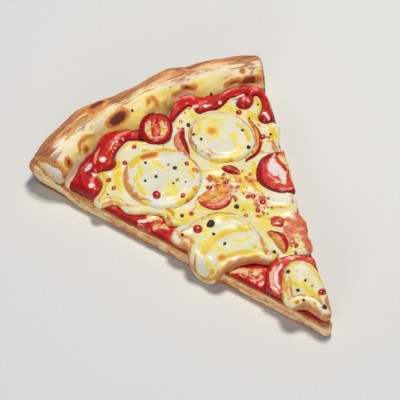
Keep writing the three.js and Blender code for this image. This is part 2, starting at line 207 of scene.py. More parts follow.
def wander(points, size, amount, seed):
    # points moved about a little, so that what is painted on them has an uneven edge
    moved = [amount * (softNoise(points, size, seed + i) + 0.5 * softNoise(points, size * 0.4, seed + i + 50))
             for i in range(3)]
    return points + np.column_stack(moved)


def rightOf(step):
    return np.column_stack((step[:, 1], -step[:, 0])) / np.linalg.norm(step, axis=1)[:, None]


def outwards(outline):
    # directions out of a closed counterclockwise outline
    return rightOf(np.roll(outline, -1, axis=0) - np.roll(outline, 1, axis=0))


def counterclockwise(outline):
    x, y = outline[:, 0], outline[:, 1]
    area = np.sum(x * np.roll(y, -1) - y * np.roll(x, -1))
    return outline if area > 0 else outline[::-1]


def insideOf(points, outline):
    crossings = np.zeros(len(points), int)
    for (ax, ay), (bx, by) in zip(outline, np.roll(outline, -1, axis=0)):
        spans = (ay > points[:, 1]) != (by > points[:, 1])
        meets = ax + (points[:, 1] - ay) / (by - ay + 1e-12) * (bx - ax)
        crossings += spans & (points[:, 0] < meets)
    return crossings % 2 == 1


def roundOutline(centre, size, wobble, lobes, phase, spacing=0.6):
    count = round(math.pi * sum(size) / 2 / spacing)
    turn = np.arange(count) / count * 2 * math.pi
    wave = (1 + wobble * np.sin(lobes * turn + phase))[:, None]
    return centre + np.array(size) / 2 * wave * np.column_stack((np.cos(turn), np.sin(turn)))


def insideCuts(outline, past):
    # an outline drawn back to the cuts where it would pass them
    for side in (-1, 1):
        over = np.maximum(0, pastCut(side, outline) - past)
        outline = outline - np.column_stack((side * cutCos * over, -cutSin * over))
    return outline


def drape(points, level, thickness):
    # hangs down the cut whatever reaches past it
    fold = pizza["foldRadius"]
    bendRadius = fold + thickness / 2
    for side in (-1, 1):
        bend = pastCut(side, points) + pizza["sauceInset"]
        over = bend > 0
        bent = fold + (points[:, 2] - level)
        turn = np.minimum(bend / bendRadius, math.pi / 2)
        moved = bent * np.sin(turn) - bend
        z = level - fold + bent * np.cos(turn) - np.maximum(bend - bendRadius * math.pi / 2, 0)
        points[over] = np.column_stack((points[:, 0] + side * cutCos * moved, points[:, 1] - cutSin * moved, z))[over]
    return points


# Working with pieces

def selectOnly(*pieces):
    if bpy.context.mode != "OBJECT":
        bpy.ops.object.mode_set(mode="OBJECT")
    bpy.ops.object.select_all(action="DESELECT")
    for piece in pieces:
        piece.select_set(True)
    if pieces:
        bpy.context.view_layer.objects.active = pieces[0]


def newPiece(name, primitive, **settings):
    selectOnly()
    primitive(**settings)
    piece = bpy.context.object
    piece.name = name
    return piece


def editAll(piece):
    selectOnly(piece)
    bpy.ops.object.mode_set(mode="EDIT")
    bpy.ops.mesh.select_all(action="SELECT")


def flatFace(name, corners):
    # one many-sided face with these corners
    piece = newPiece(name, bpy.ops.mesh.primitive_circle_add, vertices=len(corners), radius=0.02, fill_type="NGON")
    writePoints(piece, corners)
    editAll(piece)
    return piece


def remesh(piece, voxel):
    selectOnly(piece)
    modifier = piece.modifiers.new("Remesh", "REMESH")
    modifier.mode = "VOXEL"
    modifier.voxel_size = voxel / 1000
    bpy.ops.object.modifier_apply(modifier=modifier.name)


def relax(piece, repeat, chosen=None):
    editAll(piece)
    if chosen is not None:
        bpy.ops.mesh.select_mode(type="VERT")
        bpy.ops.mesh.select_all(action="DESELECT")
        bpy.ops.object.mode_set(mode="OBJECT")
        piece.data.vertices.foreach_set("select", chosen)
        bpy.ops.object.mode_set(mode="EDIT")
    bpy.ops.mesh.vertices_smooth(factor=0.5, repeat=repeat)
    bpy.ops.object.mode_set(mode="OBJECT")


def slab(name, outline, low, high, voxel, lip, belly=0.3, tuck=0.35):
    # a flat piece cut to an outline and extruded up, with an even mesh and its sides drawn in to a
    # full lip, fattest at the belly's share of its height
    piece = flatFace(name, np.column_stack((outline, np.full(len(outline), low))))
    bpy.ops.mesh.extrude_region_move(TRANSFORM_OT_translate={"value": (0, 0, (high - low) / 1000)})
    bpy.ops.mesh.select_all(action="SELECT")
    bpy.ops.mesh.normals_make_consistent(inside=False)
    remesh(piece, voxel)
    points = readPoints(piece)
    inside, along = distanceTo(points, outline, closed=True)
    inward = -outwards(outline)
    k = along * len(outline)
    first = k.astype(int) % len(outline)
    share = (k - k.astype(int))[:, None]
    direction = inward[first] * (1 - share) + inward[(first + 1) % len(outline)] * share
    up = np.clip((points[:, 2] - low) / (high - low), 0, 1)
    crown = 1 - np.sqrt(1 - np.clip((up - belly) / (1 - belly), 0, 1) ** 2)
    foot = 1 - np.sqrt(1 - np.clip((belly - up) / belly, 0, 1) ** 2)
    shift = lip * (crown + tuck * foot) * (1 - ease(0, 3 * lip, inside))
    points[:, :2] += direction * shift[:, None]
    return piece, points, inside, up


# Materials

def linearColour(code):
    channels = [int(code[i:i + 2], 16) / 255 for i in (0, 2, 4)]
    return tuple(c / 12.92 if c <= 0.04045 else ((c + 0.055) / 1.055) ** 2.4 for c in channels) + (1,)


def addNode(tree, kind, values):
    # a value is a setting of the node, or goes to one of its sockets as a number, a colour or a link
    node = tree.nodes.new("ShaderNode" + kind)
    for key, value in values.items():
        if isinstance(value, bpy.types.NodeSocket):
            tree.links.new(value, node.inputs[key])
        elif isinstance(key, int) or key in node.inputs:
            node.inputs[key].default_value = value
        else:
            setattr(node, key, value)
    return node


def mottle(tree, space, size, seed=0, stretch=(1, 1, 1), detail=2):
    # uneven patches about size millimetres across, from 0 to 1
    perMetre = 600 / size  # the noise's own cells are 0.6 of a patch
    if space:
        where = addNode(tree, "Attribute", {"attribute_name": space}).outputs["Vector"]
    else:
        where = addNode(tree, "TexCoord", {}).outputs["Object"]
    moved = addNode(tree, "Mapping", {
        "Vector": where, "Scale": tuple(perMetre / s for s in stretch), "Location": (seed * 3.7, seed * 1.9, 0),
    })
    return addNode(tree, "TexNoise", {"Vector": moved.outputs["Vector"], "Scale": 1, "Detail": detail}).outputs["Fac"]


def layOn(tree, space, number, colour, mask, colours, grain=2.0, stretch=(1, 1, 1), breakUp=0.5, low=0.3, high=0.6,
          most=1.0, toneSize=3.0, toning=0.6):
    # the mask, broken up by a grain, says how much of the layer lies here and which of its colours
    low, high = low + breakUp / 2, high + breakUp / 2
    painted = addNode(tree, "Attribute", {"attribute_name": mask})
    broken = addNode(tree, "Math", {
        "operation": "MULTIPLY_ADD",
        0: mottle(tree, space, grain, number, stretch, 3), 1: breakUp, 2: painted.outputs["Fac"],
    }).outputs["Value"]
    toned = addNode(tree, "Math", {
        "operation": "MULTIPLY_ADD",
        0: mottle(tree, space, toneSize, number + 20, stretch), 1: toning, 2: broken,
    })
    strength = addNode(tree, "MapRange", {
        "Value": toned.outputs["Value"],
        "From Min": low + toning / 2, "From Max": 0.95 + breakUp / 2 + toning / 2,
    })
    tint = addNode(tree, "ValToRGB", {"Fac": strength.outputs["Result"]})
    codes = colours.split()
    stops = tint.color_ramp.elements
    while len(stops) < len(codes):
        stops.new(0.5)
    for i, (stop, code) in enumerate(zip(stops, codes)):
        stop.position = i / (len(codes) - 1)
        stop.color = linearColour(code)
    share = addNode(tree, "MapRange", {
        "interpolation_type": "SMOOTHSTEP", "Value": broken, "From Min": low, "From Max": high, "To Max": most,
    })
    mixed = addNode(tree, "Mix", {
        "data_type": "RGBA", 0: share.outputs["Result"], 6: colour, 7: tint.outputs["Color"],
    })
    return mixed.outputs[2]


def foodMaterial(name, colours, patchSize, bumps, roughness, shader, layers=(), space=None, stretch=(1, 1, 1)):
    # two mottled colours, layers of colour laid on by mask, and fine bumps
    material = bpy.data.materials.new(name)
    material.use_nodes = True
    tree = material.node_tree
    surface = tree.nodes["Principled BSDF"]
    first, second = map(linearColour, colours.split())
    patches = addNode(tree, "MapRange", {
        "interpolation_type": "SMOOTHSTEP", "Value": mottle(tree, space, patchSize, 0, stretch, 3),
        "From Min": 0.35, "From Max": 0.65,
    })
    colour = addNode(tree, "Mix", {
        "data_type": "RGBA", 0: patches.outputs["Result"], 6: first, 7: second,
    }).outputs[2]
    for number, layer in enumerate(layers, 1):
        colour = layOn(tree, space, number, colour, **layer)
    heights = [
        addNode(tree, "Math", {
            "operation": "MULTIPLY", 0: mottle(tree, space, size, number, stretch), 1: amount,
        }).outputs["Value"]
        for number, (size, amount) in enumerate(bumps, 40)
    ]
    height = heights[0]
    for bump in heights[1:]:
        height = addNode(tree, "Math", {"operation": "ADD", 0: height, 1: bump}).outputs["Value"]
    relief = addNode(tree, "Bump", {"Height": height, "Distance": 0.001})
    shine = addNode(tree, "MapRange", {
        "Value": mottle(tree, space, patchSize * 0.6, 60),
        "From Min": 0.3, "From Max": 0.7, "To Min": roughness[0], "To Max": roughness[1],
    })
    tree.links.new(colour, surface.inputs["Base Color"])
    tree.links.new(relief.outputs["Normal"], surface.inputs["Normal"])
    tree.links.new(shine.outputs["Result"], surface.inputs["Roughness"])
    for socket, value in shader.items():
        surface.inputs[socket].default_value = value
    return material


def dress(piece, material, nodes=()):
    selectOnly(piece)
    bpy.ops.object.shade_smooth()
    piece.data.materials.clear()
    piece.data.materials.append(material)
    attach(piece, "root")
    if nodes:
        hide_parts(*nodes)
    print("made", piece.name, len(piece.data.polygons), "faces")


# Camera, light and floor
studio = {
    "azimuth": -33.148,
    "elevation": 49.154,
    "distance": 728.5,
    "lens": 135,
    "sensor": 36,
    "target": (0, 89, 6),
    "slide": (-12.1, 4.55),  # across and up in the view
    "floorColour": "E5E6E0",
    "skyColour": "D2DEFF",
    "sky": 0.25,
    # lights: where each shines from, its distance and width, power and colour
    "key": ((0.66, 0.4, 3.0), 820, 190, 5.15, "FFFAF2"),
    "fill": ((-0.9, -0.8, 0.3), 1100, 500, 3.5, "FFFDF8"),
}


def stand(name, data, direction, distance, slide=Vector()):
    # a camera or a lamp that looks back at the slice from a direction
    item = bpy.data.objects.new(name, data)
    bpy.context.scene.collection.objects.link(item)
    item.location = place(*studio["target"]) + (direction * distance + slide) / 1000
    item.rotation_euler = direction.to_track_quat("Z", "Y").to_euler()
    return item


def setStudio():
    a, e = math.radians(studio["azimuth"]), math.radians(studio["elevation"])
    back = Vector((math.sin(a) * math.cos(e), -math.cos(a) * math.cos(e), math.sin(e)))
    across = Vector((math.cos(a), math.sin(a), 0))
    lens = bpy.data.cameras.new("camera")
    lens.lens, lens.sensor_width, lens.clip_end = studio["lens"], studio["sensor"], 20
    slide = across * studio["slide"][0] + back.cross(across) * studio["slide"][1]
    bpy.context.scene.camera = stand("camera", lens, back, studio["distance"], slide)

    for name in ("key", "fill"):
        source, distance, width, power, colour = studio[name]
        lamp = bpy.data.lights.new(name, "AREA")
        lamp.shape = "DISK"
        lamp.size = width / 1000
        lamp.energy = power
        lamp.color = linearColour(colour)[:3]
        stand(name, lamp, Vector(source).normalized(), distance)

    world = bpy.data.worlds.new("sky")
    bpy.context.scene.world = world
    world.use_nodes = True
    backdrop = world.node_tree.nodes["Background"]
    backdrop.inputs["Color"].default_value = linearColour(studio["skyColour"])
    backdrop.inputs["Strength"].default_value = studio["sky"]
    bpy.context.scene.view_settings.view_transform = "Standard"

    floor = newPiece("floor", bpy.ops.mesh.primitive_plane_add, size=6)
    # matt painted board: pale, with no gloss
    board = bpy.data.materials.new("paintedBoard")
    board.use_nodes = True
    paintwork = board.node_tree.nodes["Principled BSDF"]
    paintwork.inputs["Base Color"].default_value = linearColour(studio["floorColour"])
    paintwork.inputs["Roughness"].default_value = 0.9
    paintwork.inputs["Specular IOR Level"].default_value = 0.1
    floor.data.materials.append(board)
    print("camera, lights and floor are set")


setStudio()

# Crust: the base and the puffed rim, one piece of dough
crustLook = {
    "voxel": 0.7,
    "flatTo": 134,  # how far out the base stays as spun
    # at the rim's left end: how far its lower back corner is drawn in, and its foot tucked under
    "cornerIn": 2.6,
    "tuckedUnder": 2.2,
    # the rim's outside and height, by degrees: mm more than usual
    "reach": [(-23, -1.6), (-17, 0.9), (-11, 3.0), (-6, 2.1), (-3, 0.9), (5.5, 1.0), (12, -0.5), (23, -2.2)],
    "rise": [(-23, 0), (-11, 0.4), (-3, -0.2), (5.5, 1.2), (12, 0.2), (23, -0.4)],
    # radius of the roll of sauce at the rim's foot
    "ribbon": [
        (-23, 151.4), (-18, 153.8), (-15.8, 153.2), (-10, 158), (-3, 148.8), (0, 149.2), (7.6, 158), (10.8, 152.3),
        (18.5, 155.5), (23, 150.5),
    ],
    "section": [
        (0.8, 0.0), (0.93, 0.08), (0.985, 0.2), (1, 0.34), (0.98, 0.48), (0.89, 0.69), (0.76, 0.86), (0.6, 0.97),
        (0.44, 1), (0.3, 0.96), (0.18, 0.87), (0.09, 0.74), (0.03, 0.58), (0, 0.42),
    ],
    "middle": (163, 10),  # radius and height that the rim's ends are rounded towards
    "rounding": 3.0,  # how far in from a cut the rounding starts
    # open crumb in the rim's ends
    "crumb": [
        (169, 18), (165.5, 19.9), (160.5, 20.6), (156.8, 19.4), (155, 16.6), (153.8, 13), (154.6, 11), (157.4, 10.8),
        (161.5, 12), (165.4, 14), (168.2, 16),
    ],
    "hollow": 6.5,  # how deep it has torn in
    # radius where the golden outer band starts, by degrees
    "goldFrom": [
        (-23, 160), (-18, 163.4), (-12, 164.4), (-8, 163.4), (-5, 162.4), (-2, 162), (5, 162.6), (13, 162), (19, 160.6),
        (23, 158),
    ],
    # browned blisters and charred spots: (width, strength, places as (x, y, z))
    "toast": [
        (11, 0.95, (-22.5, 156.4, 19.6), (-15.4, 158.2, 21.6)), (7.5, 1, (-28.2, 166.3, 24.4), (-21, 168.4, 24.9)),
        (4.2, 0.75, (-45.3, 150.6, 18.4), (-43.2, 152.7, 20.8), (-39.1, 154.8, 21.1), (-33.7, 156.8, 19)),
        (7, 0.95, (-41.2, 151, 17.5)), (8, 0.95, (-53.6, 147.6, 18.4), (-52.2, 146.6, 17)),
        (4.4, 0.75, (-3.4, 155.2, 20.5), (0.9, 158.3, 23.7), (2.7, 154.7, 20.3), (-2, 154.6, 20)),
        (2.6, 0.8, (6.2, 156, 20.9), (8.4, 155.9, 18.9), (8.8, 155.4, 16.3)),
        (5.6, 0.95, (21.4, 159.4, 18.8), (26.4, 156.6, 19.3)), (4.2, 0.6, (13.8, 158.6, 18.8), (19.4, 159.6, 17.6)),
        (5.6, 0.9, (42.6, 151.9, 15.9), (49.8, 150.2, 17.2)), (8, 1, (51, 149.3, 15.8), (57.2, 144.8, 18.2)),
        (5, 0.8, (52.5, 151.6, 20.5)), (5, 0.65, (59.8, 146.2, 21.6), (61.4, 143.6, 20.4)),
        (3.4, 0.42, (-49, 156.5, 24), (-42, 160.2, 24.6), (-34, 163, 24.6)),
        # a faint golden tint along the crease at the rim's foot, beside the sauce roll: painted warm shade
        (9, 0.17, (-13, 156, 16), (-7, 152.6, 15), (-1, 151, 15), (5, 153.4, 15), (10, 157.6, 16)),
        (3, 0.42, (-8, 163.4, 24.2), (-2, 164, 24.4), (3, 164.6, 24.6)), (3, 0.4, (33, 158.4, 24), (41, 157, 24)),
    ],
    "char": [
        (7.6, 1, (-21.6, 156.6, 19.8), (-16.4, 157.9, 21.2)), (4.6, 0.95, (-26.8, 166.8, 24.6), (-22, 168, 24.9)),
        (3, 0.6, (-41.2, 151, 17.5)), (4.8, 0.7, (-53.4, 147.3, 18.1)),
        (5.4, 0.95, (52.2, 148.6, 16.2), (55.4, 146.2, 17.2)), (3, 0.75, (22.6, 158.8, 19), (25.6, 157, 19.2)),
        (2.8, 0.55, (44.6, 151.5, 16.3), (47.6, 150.8, 16.8)),
    ],
}


def rimSize(turn):
    # radius of the rim's foot and of its outside, and its height, by degrees from the slice's middle
    foot = waveAt(crustLook["ribbon"], turn) + 1.5
    outside = pizza["rimOutside"] + waveAt(crustLook["reach"], turn)
    return foot, outside, pizza["rimHeight"] + waveAt(crustLook["rise"], turn)


def rimShape(foot, outside, height):
    return [(foot + out * (outside - foot), up * height) for out, up in crustLook["section"]]


def rimFillet(foot):
    # where the rim runs down into the base
    return [(foot - 1.2, pizza["base"] + 0.7), (foot - 4, pizza["base"])]


def roundedEnd(radius, height, inside):
    # draws the rim in towards its middle close to a cut, so that its ends turn over softly
    t = np.clip(1 - inside / crustLook["rounding"], 0, 1)
    inward = 1.9 * (1 - np.sqrt(1 - t ** 2)) * ease(152, 158, radius)
    toRadius, toHeight = radius - crustLook["middle"][0], height - crustLook["middle"][1]
    away = np.hypot(toRadius, toHeight) + 1e-6
    share = np.minimum(inward / away, 0.5) * ease(0.5, 5, height)
    return radius - toRadius * share, height - toHeight * share


def rimSection(turn):
    # the slice's section at a cut, as (radius, height)
    foot, outside, height = rimSize(turn)
    rim = smoothPath(rimShape(foot, outside, height), 1.5, closed=False)
    rim[:, 0], rim[:, 1] = roundedEnd(rim[:, 0], rim[:, 1], np.zeros(len(rim)))
    return np.vstack(([(tip, 0)], rim, rimFillet(foot), [(tip, pizza["base"])]))


def bubbles(flat, seed):
    # pits of burst bubbles across a cut: round in the rim, small and flattened in the base
    randomly = np.random.default_rng(seed)
    depth = np.zeros(len(flat))
    for _ in range(420):
        along = randomly.uniform(16, 174)
        inRim = along > 150
        high = randomly.uniform(1, 20 if inRim else 7)
        wide = randomly.uniform(1.0, 3.6) * (1.0 if inRim else 1.1)
        tall = wide * randomly.uniform(0.45, 0.9) * (1.0 if inRim else 0.6)
        reach = 1 - ((flat[:, 0] - along) / (wide / 2)) ** 2 - ((flat[:, 1] - high) / (tall / 2)) ** 2
        depth = np.maximum(depth, 0.32 * wide * np.sqrt(np.maximum(reach, 0)))
    return depth


def spunCrust():
    # the section spun round the pizza's centre, with a round point
    foot, outside, height = pizza["rimFoot"], pizza["rimOutside"], pizza["rimHeight"]
    rim = smoothPath(rimShape(foot, outside, height) + rimFillet(foot), 1.2, closed=False)
    radius, z = np.vstack(([(pizza["tipCentre"], 0)], rim, [(pizza["tipCentre"], pizza["base"])])).T
    crust = flatFace("baked_crust", np.column_stack((-radius * cutSin, radius * cutCos, z)))
    bpy.ops.mesh.spin(steps=60, angle=2 * halfSlice, center=place(0, 0), axis=(0, 0, 1))
    bpy.ops.mesh.select_all(action="SELECT")
    bpy.ops.mesh.remove_doubles(threshold=0.00002)
    bpy.ops.mesh.normals_make_consistent(inside=False)
    point = newPiece("point", bpy.ops.mesh.primitive_cylinder_add, vertices=48, radius=pizza["tipRadius"] / 1000,
                     depth=pizza["base"] / 1000, location=place(0, pizza["tipCentre"], pizza["base"] / 2))
    selectOnly(crust, point)
    bpy.ops.object.join()
    remesh(crust, crustLook["voxel"])
    relax(crust, 3)
    return crust


def makeCrust():
    crust = spunCrust()
    # the waves of the rim
    points = readPoints(crust)
    radius = np.hypot(points[:, 0], points[:, 1])
    turn = np.degrees(np.arctan2(points[:, 0], points[:, 1]))
    foot, outside, inner = pizza["rimFoot"], pizza["rimOutside"], crustLook["flatTo"]
    newFoot, newOutside, height = rimSize(turn)
    corner = (1 - ease(-22, -16, turn)) * (1 - ease(1, 13, points[:, 2]))
    newOutside = newOutside - crustLook["cornerIn"] * corner
    moved = np.where(
        radius < foot,
        np.where(radius < inner, radius, inner + (radius - inner) * (newFoot - inner) / (foot - inner)),
        newFoot + (radius - foot) * (newOutside - newFoot) / (outside - foot),
    )
    out = (moved - newFoot) / (newOutside - newFoot)
    radians = np.radians(turn)
    bump = np.sin(radians * 31 + out * 5) * np.sin(radians * 19 + 1)
    lift = (height + 0.7 * bump) / pizza["rimHeight"]
    points[:, :2] *= (moved / radius)[:, None]
    points[:, 2] *= 1 + (lift - 1) * ease(0, 0.12, out)

    # rounded ends, blisters and a slightly wrinkled skin
    inside = np.minimum(-pastCut(-1, points), -pastCut(1, points))
    radius, points[:, 2] = roundedEnd(moved, points[:, 2], inside)
    points[:, :2] *= (radius / moved)[:, None]
    writePoints(crust, points)
    normals = readNormals(crust)
    skin = rough(points, 1, (0.36, 9), (0.24, 4), (0.12, 1.9)) * ease(0.2, 2.5, points[:, 2])
    swell = sum(0.9 * amount * np.exp(-(distanceTo(points, path)[0] / (width * 0.36)) ** 2)
                for width, amount, *path in crustLook["toast"])

    # the cut faces: torn crumb and burst bubbles
    cutFace = (1 - ease(0.6, 1.8, inside)) * (radius < 14)  # at the point too
    inCut = np.zeros(len(points))
    skinDepth = np.full(len(points), 99.0)
    crumbDepth = np.full(len(points), -9.0)
    crumb = smoothPath(crustLook["crumb"], 1)
    for side, seed in ((-1, 5), (1, 6)):
        face = (1 - ease(0.6, 1.8, -pastCut(side, points))) * ease(6, 12, radius)
        close = face > 0
        section = np.column_stack((radius, points[:, 2]))[close]
        depth, _ = distanceTo(section, rimSection(side * pizza["sliceAngle"] / 2), closed=True)
        inCrumb, _ = distanceTo(section, crumb, closed=True)
        inCrumb = np.where(insideOf(section, crumb), inCrumb, -inCrumb) + 0.5 * softNoise(points[close], 3, seed)
        hollow = crustLook["hollow"] * (0.75 * ease(-0.5, 1.8, inCrumb) + 0.25 * ease(1, 5, inCrumb))
        torn = 0.35 * softNoise(points[close], 2.2, seed) + 0.2 * softNoise(points[close], 1.2, seed)
        pitted = np.maximum(ease(0, 1.5, inCrumb), ease(0.8, 2, depth) * (radius[close] < 152))
        pushed = hollow + torn * ease(0.3, 1.6, depth) + bubbles(section, seed) * pitted
        if side < 0:  # the foot of the rim's left end
            pushed += crustLook["tuckedUnder"] * ease(142, 160, section[:, 0]) * (1 - ease(0, 11, section[:, 1]))
        points[close, 0] -= side * cutCos * pushed * face[close]
        points[close, 1] += cutSin * pushed * face[close]
        inCut[close] = np.maximum(inCut[close], face[close])
        skinDepth[close] = np.minimum(skinDepth[close], depth)
        crumbDepth[close] = np.maximum(crumbDepth[close], inCrumb)
    points += normals * ((skin + swell) * (1 - inCut))[:, None]
    points[:, 2] = np.maximum(points[:, 2], 0)
    writePoints(crust, points)
    relax(crust, 12, radius < 13)  # the soft rounded tip
    relax(crust, 8, radius < 17)
    paintCrust(crust, turn, radius, out, np.maximum(inCut, cutFace), skinDepth, crumbDepth)
    dress(crust, crustMaterial, ["crust"])
    return crust


def paintCrust(crust, turn, radius, out, inCut, skinDepth, crumbDepth):
    points = readPoints(crust)
    height = points[:, 2]
    # patterns run along the rim, or along the base where it is cut
    arc = turn * math.radians(1) * 165
    along, over, away = np.where(inCut > 0.5, (radius, height, np.full(len(points), 300)), (arc, radius, height))
    streaks = rough(np.column_stack((arc / 6, radius, height)), 8, (1, 3.2), (0.5, 1.4))
    clouds = rough(points, 10, (1, 12), (0.5, 5))
    onRim = ease(-0.02, 0.06, out) * (1 - inCut)
    outward = radius - waveAt(crustLook["goldFrom"], turn) + 1.8 * streaks
    behind = ease(169.5, 177.5, radius + (24 - height) * 0.35) * onRim
    nearCut = 1 - ease(0, 9, -pastCut(-1, points) + 2 * clouds)
    corner = nearCut * onRim * ease(146, 153, radius)
    rightEdge = (1 - ease(0, 3.5, -pastCut(1, points) + 1.2 * clouds)) * onRim
    belowRim = 1 - ease(-0.06, 0.0, out)
    point = 1 - ease(9, 14, radius)
    # the cut faces: browned skin, cream crumb in the rim, golden streaks in the base
    layers = rough(np.column_stack((radius / 7, height, 0 * height)), 12, (1, 1.7), (0.5, 0.8))
    inBase = 1 - ease(149, 154, radius)
    rimFace = (1 - ease(-1.5, 0.6, crumbDepth)) * (0.24 + 0.6 * (1 - ease(0.3, 3.2, skinDepth)) + 0.12 * clouds)
    baseFace = 0.44 + 0.36 * np.maximum(1 - ease(0.2, 2.4, height), 0.9 * ease(6.4, 7.8, height)) + 0.34 * layers
    gold = np.maximum.reduce((
        ease(-3, 9, outward) * onRim * (0.84 + 0.28 * streaks + 0.1 * clouds),
        0.9 * corner,
        0.6 * rightEdge,
        onRim * (1 - ease(0.01, 0.07, out)) * 0.35,
        (0.5 + 0.12 * point * streaks) * belowRim * (1 - inCut),
        (0.7 + 0.2 * clouds) * (1 - ease(0.3, 1.5, height)) * (1 - inCut),
        inCut * np.where(inBase > 0.5, baseFace, rimFace),
    ))
    lemon = np.maximum(onRim * (1 - ease(-4, 3, outward)) * (0.84 + 0.6 * clouds),
                       0.45 * nearCut * belowRim * (1 - inCut) * ease(118, 128, radius))
    spots = wander(points, 3, 0.5, 14)
    lip = inCut * np.exp(-((crumbDepth + 0.5 + 0.3 * clouds) / 0.8) ** 2) * (0.65 + 0.4 * clouds)
    # a dark line along the upper edge of the crumb's hollow, laid on with the char: painted shade under the hollow's
    # lip
    fold = np.maximum(ease(163, 158, radius), ease(14.5, 18, height))
    fold *= 0.8 * inCut * np.exp(-((crumbDepth + 0.7) / 0.5) ** 2)
    torn = ease(-0.6, 1.2, crumbDepth) * (1 - 0.5 * ease(163, 169, radius))
    creamy = inBase * ease(0.2, 1.6, skinDepth) * ease(-0.1, 0.9, layers)
    writeMasks(
        crust, np.column_stack((along, over, away)), lemon=lemon, gold=gold,
        # paler along the rim's crest: partly paler dough, partly a painted highlight
        pale=onRim * ease(-8, -1, outward) * (1 - ease(4, 11, outward)) * (0.5 + 0.5 * streaks),
        baked=behind * (0.8 + 0.25 * clouds),
        lines=(onRim * ease(-8, 3, outward) * (0.6 + 0.3 * clouds) + 0.5 * corner) * (1 - behind),
        toast=np.maximum(paint(spots, crustLook["toast"]) * onRim, lip),
        char=np.maximum(paint(spots, crustLook["char"]) * onRim, fold),
        crumb=inCut * np.maximum(torn, 0.45 * creamy),
    )


# Wheat dough baked on stone: a thin matt skin, cream where it is pale, golden to brown where it
# is baked, and an open torn crumb where it is cut
crustMaterial = foodMaterial(
    "stoneBakedWheatCrust", "F8EDCE F4E0AC", patchSize=7, bumps=[(1.2, 0.2), (3.5, 0.3), (0.5, 0.1)],
    roughness=(0.5, 0.75), space="grain", stretch=(3, 1, 1),
    shader={"Subsurface Weight": 0.1, "Subsurface Radius": (1, 0.6, 0.3), "Subsurface Scale": 0.0015,
            "Specular IOR Level": 0.35},
    layers=[
        dict(mask="lemon", colours="FAF0B2 F9E688 F6D864", grain=4, stretch=(2, 1, 1), breakUp=1.1, low=0.15, high=0.7,
             toneSize=5, most=0.9),
        # pale: paler dough on the rim's crest, partly a painted highlight
        dict(mask="pale", colours="F6E8C2 F8F0DA", grain=2, stretch=(6, 1, 1), breakUp=1.0, low=0.2, high=0.7,
             most=0.8),
        dict(mask="gold", colours="F3C466 EAA244 D67C34 AE5226", grain=1.6, stretch=(9, 1, 1), toneSize=1.8,
             toning=1.3, breakUp=1.0, low=0.1, high=0.65, most=0.92),
        dict(mask="baked", colours="E2A44E D28A3E BE7034 9E5028", grain=3, stretch=(1.6, 1, 1), toneSize=6,
             toning=1.5, breakUp=0.8, low=0.1, high=0.7, most=0.97),
        dict(mask="lines", colours="D6A070 BC7A48 945332", grain=0.7, stretch=(16, 1, 1), breakUp=2.6, low=0.5,
             high=0.9, toning=0.2, most=0.75),
        dict(mask="crumb", colours="F8DCA8 FCEED0 FEFAF0", grain=1.4, toneSize=2, breakUp=0.6, low=0.05, high=0.5),
        dict(mask="toast", colours="F3D260 EAA844 DB8438 BD6230", grain=1.2, toneSize=1.6, breakUp=0.7, low=0.06,
             high=0.5, most=0.95),
        # char: charred spots on the rim, and the painted shade along the upper edge of the crumb's hollow
        dict(mask="char", colours="A84A28 86301E 62221A", grain=0.9, toneSize=1.1, breakUp=0.8, low=0.2, high=0.6,
             toning=0.9, most=0.95),
    ],
)
crust = makeCrust()

